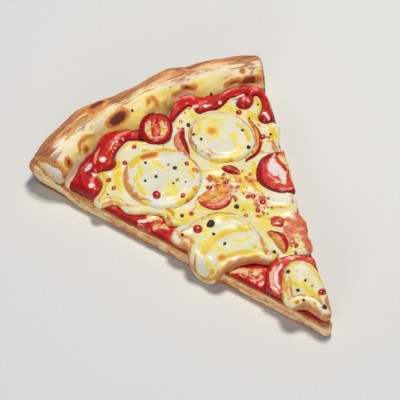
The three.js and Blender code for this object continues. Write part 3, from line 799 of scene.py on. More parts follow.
# Sauce: a thin bed with a thick uneven roll pushed up against the rim
sauceLook = {
    "voxel": 0.7,
    "low": 7.7,
    "thickness": 2.2,
    "start": 7,
    "rollHeight": 4.3,
    "rollRound": 5.2,  # how far in from its edge the roll is still rising
    # outer edge of the roll, along the rim's foot from the left cut to the right one
    "rollOuter": [
        (-52.6, 125), (-54, 129.6), (-55.4, 134.6), (-56.6, 138.8), (-57, 141.2), (-54, 142.8), (-50.6, 145.4),
        (-47.6, 148.2), (-42.4, 150.6), (-37, 152.2), (-32.6, 155.8), (-27, 159), (-18.2, 158.8), (-12.6, 156.4),
        (-7, 152.6), (0, 150.8), (6, 151.6), (10.8, 155.4), (15, 159.6), (19.8, 162), (25, 161.8), (30, 159),
        (33.2, 154.6), (37.4, 151.8), (42, 152.8), (48, 151), (54.8, 149.6), (58.8, 147.2),
    ],
    # down past the right cut to the drop that ends the roll
    "rollRight": [
        (60.8, 143), (60.6, 138.6), (59, 133.6), (56, 128), (52.8, 123.4), (49.6, 121), (46.2, 121.4), (44.8, 124.4),
        (46.4, 127.4), (50, 130), (52.6, 133.4), (54, 137.2), (53.6, 140),
    ],
    # inner edge, with a hooked lobe on the right and two round ones on the left
    "rollInner": [
        (51.6, 140.4), (50, 138), (47, 135.6), (43.6, 134.9), (41, 138), (41.9, 141), (44.2, 142.3), (47.6, 142.4),
        (49.6, 143.6), (44.4, 145), (40.8, 146), (36.6, 144.2), (31.7, 143), (26, 143.7), (21.4, 145.8), (21.6, 150),
        (20.2, 152.6), (16.6, 152), (11.5, 150), (6.6, 147.4), (-1, 144.2), (-8, 144), (-13.2, 146), (-18.4, 149),
        (-22, 148.2), (-26.4, 146), (-30.2, 142.6), (-32.2, 138.2), (-35.8, 137), (-40.6, 138.6), (-43.8, 138),
        (-43.6, 134), (-44.3, 130.6), (-46.5, 127.4), (-50, 124.6),
    ],
    # where the roll swells and where it is creased: (width, share of its height, places)
    "lobes": [
        (9, 0.3, (-37.4, 141.6)), (9, 0.35, (-50.6, 131), (-49.6, 129.4)), (6, 0.2, (-24, 151.6), (-17, 152)),
        (8, 0.3, (44.6, 138.6)), (7, 0.35, (47.6, 124)), (5, 0.2, (17, 156.6), (24, 156)),
    ],
    "creases": [
        (4.4, 0.45, (-48.3, 142.3), (-44.1, 142.7), (-41.6, 140.3), (-45.5, 137.4), (-46.4, 134.9)),
        (3, 0.25, (-30, 148), (-24.8, 150.6)), (2.6, 0.3, (38, 148), (44, 146.4), (50, 145)),
        (2.6, 0.25, (9, 150.4), (15, 154), (21, 154.6)),
    ],
    # flow lines of darker sauce, and dark lines in the creases between the roll's lobes, which are painted shade
    "flow": [
        (2.6, 1, (-57, 140.4), (-54.4, 141.8)),
        (2.2, 1, (-53.4, 130), (-53.4, 136), (-50.6, 141.6), (-45.4, 146.4), (-38, 148.8), (-33, 152.2), (-27, 156)),
        (1.6, 0.8, (-49.6, 134.6), (-47.4, 139.6), (-41.6, 145.2), (-35, 147.4), (-30, 151.4)),
        (1.8, 0.9, (-24, 155), (-17.6, 156), (-11, 151.4), (-4, 148.6), (4, 149.4)),
        (1.3, 0.7, (-21, 153), (-16, 153), (-10, 149)),
        (1.8, 0.9, (8, 152.4), (14, 157.6), (20.6, 159.2), (27, 157.2), (31, 152)),
        (1.8, 0.9, (35.6, 149.4), (42.6, 150.4), (50, 148.2), (56.4, 145.6), (58.4, 140), (56.6, 134), (53.4, 128)),
        (1.5, 0.8, (21, 148.4), (25.7, 145.4), (30.6, 145.2), (36.4, 146.6), (41, 148)),
        (3, 1, (-47.4, 143.4), (-43.4, 141.6), (-46.4, 137.6)), (1.4, 0.7, (46.4, 142), (43.4, 140), (43, 137)),
    ],
    # paler pulp, partly a painted highlight along the roll's ridge; melted cheese run into the sauce; and white dots on
    # the roll, which are painted highlights
    "pale": [
        (3.8, 0.75, (-31, 146.6), (-27, 149.4), (-22.6, 151.4), (-16, 151.8)),
        (3, 0.8, (-41, 143), (-38, 147), (-34, 150)), (4, 0.8, (-50, 131.5), (-47, 135), (-44, 139)),
        (4.2, 0.9, (12, 155), (18, 158), (25, 156.4), (30, 152)), (4.5, 0.7, (22, 150), (28, 148.4)),
        (3, 0.8, (46.6, 140.6), (43.6, 138)), (3.4, 0.7, (57, 140), (57.4, 134), (54, 128)),
        (3, 0.6, (36, 148), (42, 149), (48, 148)), (3, 0.6, (-41.7, 100.8), (-39.4, 95.5)),
    ],
    "cream": [
        (7, 0.9, (-36.6, 101), (-33.5, 101), (-31.6, 97.5)), (6, 0.85, (-35.8, 95), (-32, 93)),
        (7, 0.95, (-20.2, 53), (-16.4, 51), (-13.3, 47.6), (-9.1, 46)), (6, 0.8, (-12, 43), (-13.9, 45)),
    ],
    "white": [
        (5, 1, (-36.9, 142.2)), (2.6, 0.7, (-46, 143), (-43, 143.6)), (4.6, 1, (-49.6, 131.2)),
        (2.6, 1, (-44.4, 138.6), (-43, 138)), (2.2, 0.62, (-28.8, 148)), (1.8, 0.5, (-26.9, 149.4)),
        (1.9, 0.6, (-27, 146.8)), (2.3, 0.62, (-24.4, 149.6)), (1.8, 0.5, (-22.3, 150.6)), (2, 0.6, (-20.6, 150)),
        (1.9, 0.5, (-29, 145.6)), (1.8, 0.55, (-25.4, 148)), (1.8, 0.5, (-31, 143.6)), (1.6, 0.5, (-23.6, 148)),
        (1.6, 0.45, (-33, 145)), (1.6, 0.45, (-18.4, 151.4)), (2.4, 0.8, (21.4, 150.4), (23, 148.6)),
        (2.6, 0.8, (26.3, 146.5)), (2.6, 1, (34.3, 145.1)), (2.4, 1, (46.4, 137.5)), (2.2, 1, (47.4, 125), (48.4, 122)),
        (2.6, 1, (-40.4, 102.3), (-38, 101.1)),
    ],
}


def makeSauce():
    corners = sauceLook["rollOuter"] + sauceLook["rollRight"] + sauceLook["rollInner"]
    ribbon = counterclockwise(smoothPath(corners, 1.0))
    ribbon = insideCuts(ribbon + outwards(ribbon) * 0.8, 1.2)
    # the bed's edges: drawn in beside the roll at the left cut, and out past the right one
    along = np.arange(sauceLook["start"], 152, 2.0)
    left = besideCut(-1, along, -pizza["sauceInset"] - 1.1 * ease(128, 138, along))
    right = besideCut(1, along, -pizza["sauceInset"] + 1.8 * (ease(121, 128, along) * ease(152, 146, along)))
    outer = smoothPath(sauceLook["rollOuter"][4:], 1.5, closed=False)
    outline = counterclockwise(np.vstack((np.column_stack(left), outer, np.column_stack(right)[::-1][3:])))
    low = sauceLook["low"]
    high = low + sauceLook["thickness"]
    sauce, points, inside, up = slab("tomato_sauce", outline, low, high, sauceLook["voxel"], lip=1.2)
    wobble = 0.9 * softNoise(points, 5, 21)
    depth, share = distanceTo(points, ribbon, closed=True)
    depth = np.where(insideOf(points, ribbon), depth, -depth)
    across = np.clip(1 - (depth + wobble * ease(0, 3, depth)) / sauceLook["rollRound"], 0, 1)
    flowing = 0.72 + 0.28 * ease(1, 10, -pastCut(-1, points))  # lower where it runs to the left cut
    lumps = 1 + 0.16 * softNoise(points, 7, 27) + paint(points, sauceLook["lobes"])
    lumps -= paint(points, sauceLook["creases"])
    height = np.where(depth > 0, sauceLook["rollHeight"] * lumps * flowing * np.sqrt(1 - across ** 2), 0)
    pulp = rough(points, 22, (0.4, 3.2), (0.22, 1.6)) * (1 - 0.5 * ease(0, 2, depth))
    points[:, 2] = low + up * (sauceLook["thickness"] + height + pulp)
    writePoints(sauce, points)
    relax(sauce, 2)
    points = readPoints(sauce)
    spots = wander(points, 3, 0.5, 24)
    # darker red along the roll's foot and the sauce's edges: painted shade
    deep = np.maximum(1 - ease(0.5, 2, np.abs(depth - 0.1)), 0.6 * (1 - ease(0.4, 1.6, inside)))
    # lighter along the middle of the roll: a painted highlight on its ridge, partly paler pulp
    pale = ease(-0.5, 1, depth) * ease(1.3, 3.4, depth) * (0.17 + 0.5 * softNoise(points, 6, 26))
    writeMasks(
        sauce, np.column_stack((share * len(ribbon), depth, points[:, 2])),
        deep=np.maximum(0.8 * deep + 0.2 * softNoise(points, 5, 28), paint(spots, sauceLook["flow"])),
        pale=np.maximum(pale, paint(spots, sauceLook["pale"])),
        cream=paint(spots, sauceLook["cream"]),
        # the white dots on the roll are painted highlights
        white=paint(points, sauceLook["white"]),
    )
    dress(sauce, sauceMaterial, ["sauce"])
    return sauce


# Cooked tomato sauce, sieved: wet and glossy, with darker skin and paler pulp; painted shade darkens the roll's foot,
# edges and creases, and painted highlights lighten its ridge
sauceMaterial = foodMaterial(
    "cookedTomatoSauce", "BC0C0E D0241C", patchSize=4, bumps=[(1.8, 0.14), (0.7, 0.04)],
    roughness=(0.24, 0.42), space="grain", stretch=(3, 1, 1),
    shader={"Subsurface Weight": 0.08, "Subsurface Radius": (1, 0.25, 0.12), "Subsurface Scale": 0.0015,
            "Specular IOR Level": 0.28, "Coat Weight": 0.1, "Coat Roughness": 0.08},
    layers=[
        dict(mask="deep", colours="A60C12 820814", grain=2.0, stretch=(5, 1, 1), breakUp=0.8, low=0.12, high=0.68,
             most=0.95),
        dict(mask="pale", colours="D43C2E DF6E58 EE9F8C", grain=1.5, stretch=(5, 1, 1), breakUp=1.3, low=0.2, high=0.7,
             toneSize=1.4, toning=1.0, most=0.92),
        dict(mask="cream", colours="DB6C38 E59E60 EED0A0", grain=1.3, toneSize=1.2, breakUp=1.6, low=0.25, high=0.5,
             toning=1.4, most=0.95),
        dict(mask="white", colours="E88C7C F4CFC2 FAEEE6", grain=1.5, breakUp=0.15, low=0.1, high=0.6),
    ],
)
sauce = makeSauce()

# Cheese: one melted layer, drawn back from the sauce in places
cheeseLook = {
    "voxel": 0.6,
    "low": 9.6,
    "thickness": 3.0,
    # along the left cut and past it, from the rim to the tip
    "left": [
        (134.6, 1.2), (130.5, 2.4), (125.5, -4.2), (117, -3), (107, -9.2), (102.5, -11), (97, -7.6), (92, -9), (84, -2),
        (66, -6), (59, -10.5), (46, -13.5),
    ],
    "right": [
        (45, 0.5), (54, 0.2), (63, 1.4), (70, -1.6), (76, -0.1), (84, -1.6), (92, 0.6), (103, 0.8), (113, -1.4),
        (119, 0.6), (126, 2.2),
    ],
    "corner": [(50, 120), (46, 121.2)],  # round the drop of sauce at the right cut
    # how yellow it is, how strong its amber edge and the line inside it are, and how far in that lies
    "yellow": 0.32, "border": 0.45, "inner": 0.85, "lineIn": 2.0, "speckled": 0.3,
    "lemon": [
        (7, 0.95, (-30, 140.1), (-34.5, 132.5), (-38, 124.8)),
        (6, 0.8, (-39.6, 140), (-41, 133), (-44, 126.5), (-49, 123)), (6, 1, (-16, 137.5), (-8, 128), (-4.2, 118.6)),
        (5, 0.9, (-3.2, 129), (-3, 120.3), (0, 115)), (8, 0.9, (42, 130), (44.5, 126)),
        (7.5, 1, (47, 117.5), (44.7, 112), (41.7, 108.5)), (5.5, 1, (26, 101), (21.1, 95.6), (17.1, 89), (17.6, 82)),
        (8, 0.9, (2.6, 106), (5, 101), (3, 97)), (5, 0.8, (11, 101), (17, 97)), (5, 0.8, (38, 124), (40, 119)),
        (5, 0.8, (45, 104), (44, 99)), (6, 0.7, (12, 92.6), (11.5, 89)), (5, 0.8, (19, 72), (23, 69.5)),
        (5, 0.75, (5, 81), (10, 73), (9, 68)), (5, 0.7, (-23, 146), (-15, 143), (-12, 140)),
        (4.5, 0.8, (29, 141.5), (35, 140), (38, 135)), (5, 0.8, (10.5, 49.5), (7, 45)),
        (5, 0.7, (-22, 89), (-26, 93), (-25, 98)), (5, 0.7, (0, 112), (4, 108)),
    ],
    "amber": [
        (4.4, 0.85, (-31.4, 104.5), (-27.5, 101.5), (-24.7, 98), (-25.3, 95)),
        (2.2, 0.6, (-51.1, 119.5), (-48, 118.7), (-43.3, 116.9), (-41.9, 111.9), (-41.6, 107.9)),
        (4.2, 0.85, (-28.7, 97.1), (-29.6, 91.5), (-29.1, 86.6), (-26.8, 83.4)),
        (2.6, 0.6, (-17, 138.6), (-9, 130.5), (-5.6, 123)), (4.4, 0.7, (40.6, 106.6), (39.6, 103)),
        (3.4, 0.75, (32.6, 105.7), (33.8, 105.1), (36.5, 103.4)), (3.4, 0.55, (20.6, 95.6), (17, 90), (17.4, 83)),
        (2.4, 0.5, (5, 121), (7.4, 114), (12, 109.5)), (2.4, 0.7, (-10, 141), (-5, 137.4), (-6, 134.6)),
        (2.4, 0.5, (17, 139.6), (24, 143), (31, 141.4)), (2.2, 0.6, (-10, 98), (-14.8, 93.4), (-18.6, 91)),
        (2.4, 0.5, (18.9, 93), (18, 96.4)),
    ],
    "toast": [
        (4.4, 0.85, (3.7, 104.2)), (4, 0.8, (-18.1, 91.6)), (3, 0.7, (12.4, 98.6), (13.6, 97.6)),
        (2.6, 0.6, (10.2, 79.6)), (2.4, 0.5, (8.6, 98.3)),
    ],
    "stain": [
        (13, 0.6, (1, 101), (4, 96), (8.5, 92)), (10, 1, (24.6, 64), (24, 57.4), (20.3, 50.4), (16.4, 42.9)),
        (13, 0.95, (19.6, 63), (20, 59), (15.4, 57), (12.6, 51)), (7, 0.55, (13, 96), (15.4, 94.8), (20, 92)),
        (5, 0.4, (8, 103.6), (3, 105)), (5, 0.5, (12, 88), (15, 84)), (5, 0.5, (17, 74), (20.6, 70)),
        (4, 0.6, (28, 74), (26, 69)), (5, 0.8, (-14, 46), (-9, 47.6)),
    ],
    "flecks": [
        (24, 1, (3, 104), (9, 98), (14, 93)), (16, 0.85, (24, 66), (19, 57), (15, 48)),
        (20, 1, (12, 86), (14, 78), (10, 71)), (8, 0.8, (40, 128), (42, 118), (40, 108)),
    ],
}


def makeCheese():
    corners = besideCuts(-1, cheeseLook["left"]) + besideCuts(1, cheeseLook["right"])
    corners += cheeseLook["corner"] + sauceLook["rollRight"][7:] + sauceLook["rollInner"][:-2]
    outline = counterclockwise(smoothPath(corners, 1.0))
    low, tall = cheeseLook["low"], cheeseLook["thickness"]
    cheese, points, inside, up = slab("melted_cheese", outline, low, low + tall, cheeseLook["voxel"], lip=1.7)
    lip = np.exp(-((inside - 1.8) / 1.2) ** 2)
    rolling = rough(points, 31, (0.5, 13), (0.3, 5.5), (0.14, 2.4))
    dips = paint(points, [(width * 1.3, 0.5, *path) for width, _, *path in cheeseLook["stain"]])
    points[:, 2] = low + up * (tall + 0.5 * lip + (rolling - dips) * ease(0, 3, inside))
    writePoints(cheese, drape(points, pizza["cheeseLevel"], 2))
    relax(cheese, 2)
    paintMelted(cheese, readPoints(cheese), inside, up, 35, cheeseLook)
    dress(cheese, cheeseMaterial, ["cheese"])
    return cheese


def paintMelted(piece, points, inside, up, seed, look):
    # yellow fat, amber edges (deepened by painted shade on the sides away from the key light), browned spots, places
    # stained by the sauce, flecks of herb oil, and painted shade low on the side walls
    level = points * (1, 1, 0)
    spots = wander(wander(level, 3.6, 0.8, seed), 1.3, 0.3, seed + 10)
    clouds = rough(level, seed + 4, (1, 9), (0.5, 4))
    waves = softNoise(level, 8, seed + 6)
    # the amber edge is stronger on the sides that face lower left, away from the key light: painted shade
    shadedSide = ease(-0.5, 0.8, -(readNormals(piece)[:, :2] @ (0.5, 0.86)))
    edge = (1 - ease(0.6, 2.2, inside)) * (1 - ease(0.6, 1, up)) * (0.85 + 0.4 * waves) * (0.5 + 0.6 * shadedSide)
    line = np.exp(-((inside - look["lineIn"] - 0.9 * waves) / 0.9) ** 2)
    line *= (0.3 + 0.7 * ease(-14, -3, pastCut(-1, level))) * ease(-0.8, 0.1, softNoise(level, 7, seed + 7))
    oily = 0.4 * np.exp(-((inside - 3.4 - waves) / 2) ** 2) + 0.3 * clouds
    writeMasks(
        piece, points,
        lemon=np.maximum.reduce((look["yellow"] + 0.3 * clouds, oily, paint(spots, look["lemon"]))),
        amber=np.maximum.reduce((edge * look["border"], line * look["inner"], paint(spots, look["amber"]))),
        toast=paint(wander(level, 2, 0.25, seed), look["toast"]),
        stain=paint(spots, look.get("stain", ()), 0.9),
        flecks=np.maximum(paint(spots, look.get("flecks", ()), 0.9), look["speckled"]),
        # darker golden low on the side walls, where they meet the layer below: painted shade
        under=1 - ease(0.02, 0.3, up),
    )


# Melted low-moisture cheese: cream to lemon, oily sheen, orange oil gathered along its edges, deepened by painted shade
# on the edges away from the key light and low on the side walls
melted = dict(
    patchSize=8, bumps=[(2.2, 0.18), (0.9, 0.08)], roughness=(0.34, 0.56), space="grain",
    shader={"Subsurface Weight": 0.25, "Subsurface Radius": (1, 0.75, 0.4), "Subsurface Scale": 0.0025,
            "Coat Weight": 0.1, "Coat Roughness": 0.2},
    layers=[
        dict(mask="lemon", colours="F0E988 F1E048 ECCD2C", grain=2.6, stretch=(1, 2, 1), breakUp=0.9, low=0.12,
             high=0.72, toning=0.8, most=0.95),
        dict(mask="stain", colours="F0C08A E8895A D95A3C", grain=1.7, toneSize=1.8, toning=1.6, breakUp=1.5, low=0.2,
             high=0.7, most=0.95),
        # under: painted shade at the foot of the side walls
        dict(mask="under", colours="E2B860 D2923E", grain=3, breakUp=0.4, low=0.5, high=1.0, most=0.75),
        dict(mask="amber", colours="F0D25A E9B144 DD9038 BE6C30", grain=1.6, toneSize=2, breakUp=0.9, low=0.1,
             high=0.75, most=0.9),
        dict(mask="flecks", colours="E8933C D96A34 C64A30", grain=1.2, toneSize=2.2, toning=2.0, breakUp=3.2, low=1.02,
             high=1.22, most=0.9),
        dict(mask="toast", colours="F4DC5A F2BE38 EDA02C C8692A", grain=1.2, toneSize=1.5, breakUp=0.4, low=0.04,
             high=0.35),
    ],
)
cheeseMaterial = foodMaterial("meltedCheese", "ECE8D0 E8E1AE", **melted)
# the same, fresher and whiter
mozzarellaMaterial = foodMaterial("meltedFreshMozzarella", "E8E6D8 E4E0C2", **melted)
cheese = makeCheese()

# Mozzarella: two slices melted into low rounds, and two runny pieces that fold over the cuts
roundsLook = {
    "voxel": 0.5,
    "low": 11.6,
    "mozzarella_round_left": {
        "centre": (-17.8, 117.4), "size": (38.6, 39.4), "phase": 1,
        "yellow": 0.2, "border": 0.3, "inner": 0.0, "lineIn": 3, "speckled": 0.0,
        "lemon": [
            (7, 0.95, (-27, 130.5), (-21, 133.6), (-13.6, 132), (-8, 131), (-5, 127.4)),
            (5, 0.75, (-20.7, 134), (-24, 128), (-27, 122)), (4, 0.6, (-17, 129), (-14.8, 122), (-13.4, 118)),
            (5.5, 0.8, (-28.4, 124.4), (-31, 118.1), (-31.4, 111.5)),
            (4, 0.9, (-33, 128.6), (-36.4, 121), (-36.6, 112), (-32.4, 104)),
            (5, 1, (-7.4, 102.8), (-10.4, 101), (-15.2, 99.6), (-20.6, 99.2)), (6.5, 0.8, (-21.9, 105.8)),
            (4, 0.7, (-9.5, 110.3)), (4, 0.7, (-22.6, 123.4)), (3.4, 0.7, (-6.2, 107), (-5, 112)),
        ],
        "amber": [
            (4.2, 0.8, (-27, 134), (-30.8, 130.3), (-33.6, 124.4), (-34.8, 118.4), (-34.6, 112.6), (-31.4, 106)),
            (3.6, 0.9, (-1.4, 124), (0.6, 117), (0.2, 109.6), (-3, 103.6), (-9, 99), (-16, 97.8)),
            (2.6, 0.6, (-12, 134.8), (-6, 130.4), (-2.6, 124)),
        ],
        "toast": [(7.6, 0.95, (-18.8, 131.8), (-14.6, 130.6)), (3, 0.7, (-9.6, 101.6))],
    },
    "mozzarella_round_right": {
        "centre": (21.6, 124.8), "size": (32.4, 37), "phase": 4,
        "yellow": 0.2, "border": 0.3, "inner": 0.0, "lineIn": 3, "speckled": 0.0,
        "lemon": [
            (5.5, 0.85, (32, 126), (32.2, 118.7), (29.6, 113)), (4.4, 0.75, (15.2, 135.6), (11.4, 130.3)),
            (5.5, 0.9, (8.6, 114), (10.6, 110.6), (16, 108.4), (21.6, 109)), (4, 0.7, (24.8, 120.4), (23, 113.6)),
            (3.4, 0.85, (18.9, 120.6)), (4, 0.6, (24, 135), (29, 131)), (10, 0.9, (18.4, 128.4)),
        ],
        "amber": [
            (2.4, 0.85, (17.6, 140.6), (11, 136.4), (7.2, 129.4), (6.2, 121.7)),
            (2.4, 0.7, (22, 142.2), (30, 138.4), (35, 131), (36.8, 122), (34.6, 113.2), (29, 107.6)),
            # the short strokes just inside its lower left edge: painted shade
            (1.8, 0.75, (8, 120.6), (9.4, 115.6)), (1.8, 0.6, (9, 113.6), (10.8, 112.4), (9.2, 110.8)),
            (1.5, 0.6, (9.8, 121), (11.4, 115.6), (15, 111.6)),
        ],
        "toast": [(7.8, 0.7, (18.4, 128.4)), (3.4, 0.6, (16.3, 108.6))],
    },
}


def makeRound(name):
    look = roundsLook[name]
    centre, size, phase = look["centre"], look["size"], look["phase"]
    outline = roundOutline(centre, size, wobble=0.015, lobes=3, phase=phase)
    low = roundsLook["low"]
    piece, points, inside, up = slab("melted_" + name, outline, low, low + 4, roundsLook["voxel"],
                                     lip=2.4, belly=0.22, tuck=0.2)
    middle = np.hypot(points[:, 0] - centre[0], points[:, 1] - centre[1]) / (size[0] / 2)
    rolling = rough(points, 41, (0.34, 11), (0.2, 4.6), (0.08, 2))
    toasted = paint(points, look["toast"]) * 0.5
    groove = paint(points, look["amber"][:1]) * 0.45
    dome = 0.35 * np.sqrt(np.clip(1 - middle ** 2, 0, 1)) - 0.55 * (1 - ease(0, 5.5, inside))
    points[:, 2] = low + up * (3.7 + dome + rolling * ease(0, 4, inside) + toasted - groove)
    writePoints(piece, points)
    relax(piece, 2)
    paintMelted(piece, readPoints(piece), inside, up, 45 + phase, look)
    dress(piece, mozzarellaMaterial, [name])
    return piece


rounds = [makeRound(name) for name in ("mozzarella_round_left", "mozzarella_round_right")]

meltsLook = {
    "voxel": 0.55,
    # edgeLine is an amber line along a part of the outline: its width, first and last corner
    "mozzarella_melt_side": {
        "thickness": 4.6,
        # along the left cut and past it
        "outline": besideCuts(-1, [
            (92, -5.5), (90, 0.3), (84, 1.6), (80.4, 0.4), (78.4, 4), (76.4, 9.6), (73, 14), (68, 15.3), (63.2, 13.4),
            (59.4, 5.8), (56, -3.6), (49, -11.8), (42.6, -14.4), (42.3, -21), (47, -21.8), (57.4, -26.6), (65, -30),
            (73, -30.2), (82, -25.4), (86.4, -17),
        ]),
        "edgeLine": (6, 0, 12),
        "yellow": 0.26, "border": 0.9, "inner": 1.0, "lineIn": 2.4, "speckled": 0.0,
        "lemon": [
            (8, 1, (-2.3, 67), (-8, 70.4), (-15.6, 71.4), (-22.3, 69.4), (-27.4, 66)),
            (6.5, 1, (-20.2, 58), (-12.7, 57), (-8.8, 54), (-6.9, 50.6)), (5, 1, (-5.1, 55.7)),
            (3.2, 0.6, (-27, 70), (-27.7, 64.2), (-27.3, 59.4)),
            (4.6, 0.85, (-19, 85), (-12.9, 82.4), (-5.6, 77.4), (-2.6, 72.4), (-0.6, 67.2)),
            (2.8, 0.65, (-19.6, 76.8), (-25, 69), (-28, 64)), (4, 0.6, (-27, 79), (-24, 76)),
            (3.6, 0.6, (-10, 64), (-4, 61)),
        ],
        "amber": [
            (3.6, 0.95, (-14, 85.6), (-5.5, 81), (0.6, 76.3), (2.8, 69.7), (2, 64), (0.2, 61.2)),
            (3.4, 0.75, (2.2, 62.4), (-0.5, 55.5), (-3.5, 49.9)), (3, 0.5, (-5.1, 55.7)),
            (4.4, 0.7, (-29.8, 80.3), (-28.6, 78.8), (-27.9, 76.2), (-29, 72)),
            (3.6, 0.8, (-17.2, 54), (-12.4, 52.6), (-7.4, 50)), (2.2, 0.6, (-24, 82.6), (-19.6, 84.8), (-12, 83.8)),
            (2.4, 0.5, (-16, 70.6), (-10, 69.6)),
            # inside the edge of the drip
            (4.6, 0.7, *besideCuts(-1, [
                (90, -5), (83, -1.4), (77.6, 1.6), (74.4, 6.2), (71.2, 9.4), (67.4, 10), (63.8, 8), (60.6, 2.8),
                (58, -4),
            ])),
        ],
        "toast": [(7, 0.72, (-21.8, 59)), (3.2, 0.6, (-27.7, 57))],
    },
    "mozzarella_melt_tip": {
        "thickness": 6,
        "outline": [
            (11.2, 33.4), (7.7, 38.5), (2, 39.8), (-5, 34.7), (-10.6, 27), (-12.6, 21.8), (-10.6, 17.4), (-5.2, 15.4),
            (-3.4, 10), (-1.6, 5.4), (1.6, 5), (5.6, 12), (9.6, 21.5), (11.2, 28.6),
        ],
        "edgeLine": (4.2, 4, 12),
        "yellow": 0.28, "border": 0.85, "inner": 1.0, "lineIn": 2.2, "speckled": 0.15,
        "lemon": [
            (5.5, 0.95, (-3.2, 35.7), (-7.4, 31.1)), (5.5, 0.9, (-4, 29.6), (-2.4, 26)),
            (5, 0.95, (1.3, 26.6), (0.3, 21), (1.6, 13.1)), (4.4, 0.9, (8.4, 34.4), (8.6, 28.4), (7.2, 22)),
            (4, 0.7, (-8, 20), (-3, 18)), (3.6, 0.7, (2, 37.4), (6, 36)), (3.6, 0.7, (3.6, 10), (5.4, 15)),
        ],
        "amber": [
            (3.4, 0.7, (-4.4, 33.5), (-7.8, 27.4), (-8.9, 22)), (4, 0.85, (5.6, 14.5), (3.4, 9.6), (2, 6.6)),
            (2.2, 0.5, (1.6, 37.8), (6.6, 36.6), (9.6, 33)), (2.6, 0.7, (-4.4, 19.6), (-4.8, 18)),
        ],
        "toast": [(3, 0.7, (-8.6, 28.6)), (3, 0.7, (-1.9, 12.8))],
        "stain": [(4.4, 0.6, (0.3, 37.6), (-2, 36.6))],
    },
}


def makeMelt(name):
    look = meltsLook[name]
    tall, (width, first, last) = look["thickness"], look["edgeLine"]
    outline = counterclockwise(smoothPath(look["outline"], 0.8))
    level = pizza["cheeseLevel"]
    low = level - 0.3
    piece, points, inside, up = slab("runny_" + name, outline, low, level + tall, meltsLook["voxel"],
                                     lip=3.0, tuck=0.3)
    rolling = rough(points, 51, (0.5, 11), (0.26, 5), (0.1, 2.2))
    groove = paint(points, look["amber"][:2]) * 0.5
    toasted = paint(points, look["toast"]) * 0.4
    folds = paint(points, look["lemon"][:1]) * 0.35
    points[:, 2] = low + up * (tall + 0.3 - 0.7 * ease(2, 9, inside) + (rolling - groove) * ease(0, 3, inside)
                               + toasted - folds)
    flat = points.copy()
    points = drape(points, level, tall)
    points[:, 2] = np.maximum(points[:, 2], 0.1)  # the drip's end rests on the plate
    writePoints(piece, points)
    relax(piece, 3)
    contour = (width, 0.8, *look["outline"][first:last])
    paintMelted(piece, flat, inside, up, 55, {**look, "amber": look["amber"] + [contour]})
    dress(piece, mozzarellaMaterial, [name])
    return piece


melts = [makeMelt(name) for name in ("mozzarella_melt_side", "mozzarella_melt_tip")]

# Tomato: two slices, a half slice at the cut, half a small tomato on the rim, and scraps
tomatoLook = {
    "voxel": 0.38,
    "tomato_slice_tip": {
        "centre": (0.6, 30), "size": (30.6, 30.2), "thickness": 3.6, "past": -0.4, "seed": 61, "ring": 0.5, "well": 0.4,
        "tilt": 0,
        "core": [(3.4, 0.8, (-9.4, 30), (-8.4, 34.6), (-5.4, 38.4), (-1, 40.6))],
        # the pale arc along the ring's left side: partly paler flesh, partly a painted highlight
        "pale": [(3.4, 0.95, (-11.6, 27.6), (-11.2, 33), (-8.6, 38), (-4, 41.4)), (2.2, 0.8, (4, 42.6), (8, 41))],
        "skin": [
            (1.8, 0.8, (-7.2, 30), (-6, 34.4), (-2.6, 38.2), (1, 39.8)),
            (2.6, 0.9, (-13.4, 27), (-13.2, 33), (-10.6, 38.6), (-6, 42.6)),
            (2.4, 0.7, (0, 43.8), (6, 43.4), (10, 40.6)),
        ],
        "chamber": [],
    },
    "tomato_half_side": {
        "centre": (34, 88.4), "size": (27.4, 27), "thickness": 3.6, "past": 0, "seed": 62, "ring": 1, "well": 0.9,
        "tilt": 0,
        "core": [(9, 1, (33.6, 97), (31, 93), (29.6, 89)), (6, 1, (33.6, 93), (32.4, 87.6), (30, 82))],
        "pale": [
            (2.2, 0.8, (26.6, 91.6), (27, 86.4), (29.6, 80.6)), (2, 0.8, (25.6, 80), (29, 77.6), (32.6, 76.6)),
            (1.2, 0.7, (32.4, 96.6), (29.6, 91.6)), (1, 0.7, (33.6, 90.6), (32, 86)),
        ],
        "skin": [
            (5.4, 1, (38, 99.6), (32.4, 100.4), (26, 97.8), (21.6, 92), (20.8, 85.4), (23, 79), (27.6, 75.6)),
            (1.4, 0.7, (35.4, 91.7), (35.9, 87.7), (32.6, 83.6)),
        ],
        "chamber": [(5.4, 1, (38, 98), (38.8, 93), (37.4, 88.6)), (4, 0.9, (36.4, 85.6), (35, 81))],
    },
    "tomato_slice_sunk": {
        "centre": (-3, 94.2), "size": (17, 18.4), "thickness": 2.6, "past": 0, "seed": 63, "ring": 0.0, "well": 0.3,
        "tilt": 0.09,
        "core": [(1.8, 0.5, (-6, 92.4), (0, 91.6))],
        "pale": [
            (3.4, 1, (-9, 90.6), (-4, 88), (2, 89), (4.6, 92)), (4, 0.8, (-7, 95), (3, 94.6)),
            (4, 0.8, (3, 97), (5, 93)),
        ],
        "skin": [
            # the dark red crescent along its lower left edge: partly skin, partly painted shade
            (3, 0.5, (-11.4, 93.6), (-11, 89.4), (-7.4, 86.2), (-2, 85.6), (2.4, 87.4), (5, 91.4)),
            (0.9, 0.45, (-8, 94), (-4, 93), (2, 94)),
        ],
        "chamber": [(11, 0.6, (-9, 96), (-2, 95), (5, 96)), (9, 0.9, (-7, 101), (0, 102)), (5, 0.5, (-7, 91), (2, 91))],
    },
}


def dressTomato(piece, node, skin, core, pale, chamber):
    writeMasks(piece, skin=skin, core=core, pale=pale, chamber=chamber)
    dress(piece, tomatoMaterial, [node])
    return piece


def cutMarks(points, look):
    return [paint(points, look[part]) for part in ("skin", "core", "pale", "chamber")]


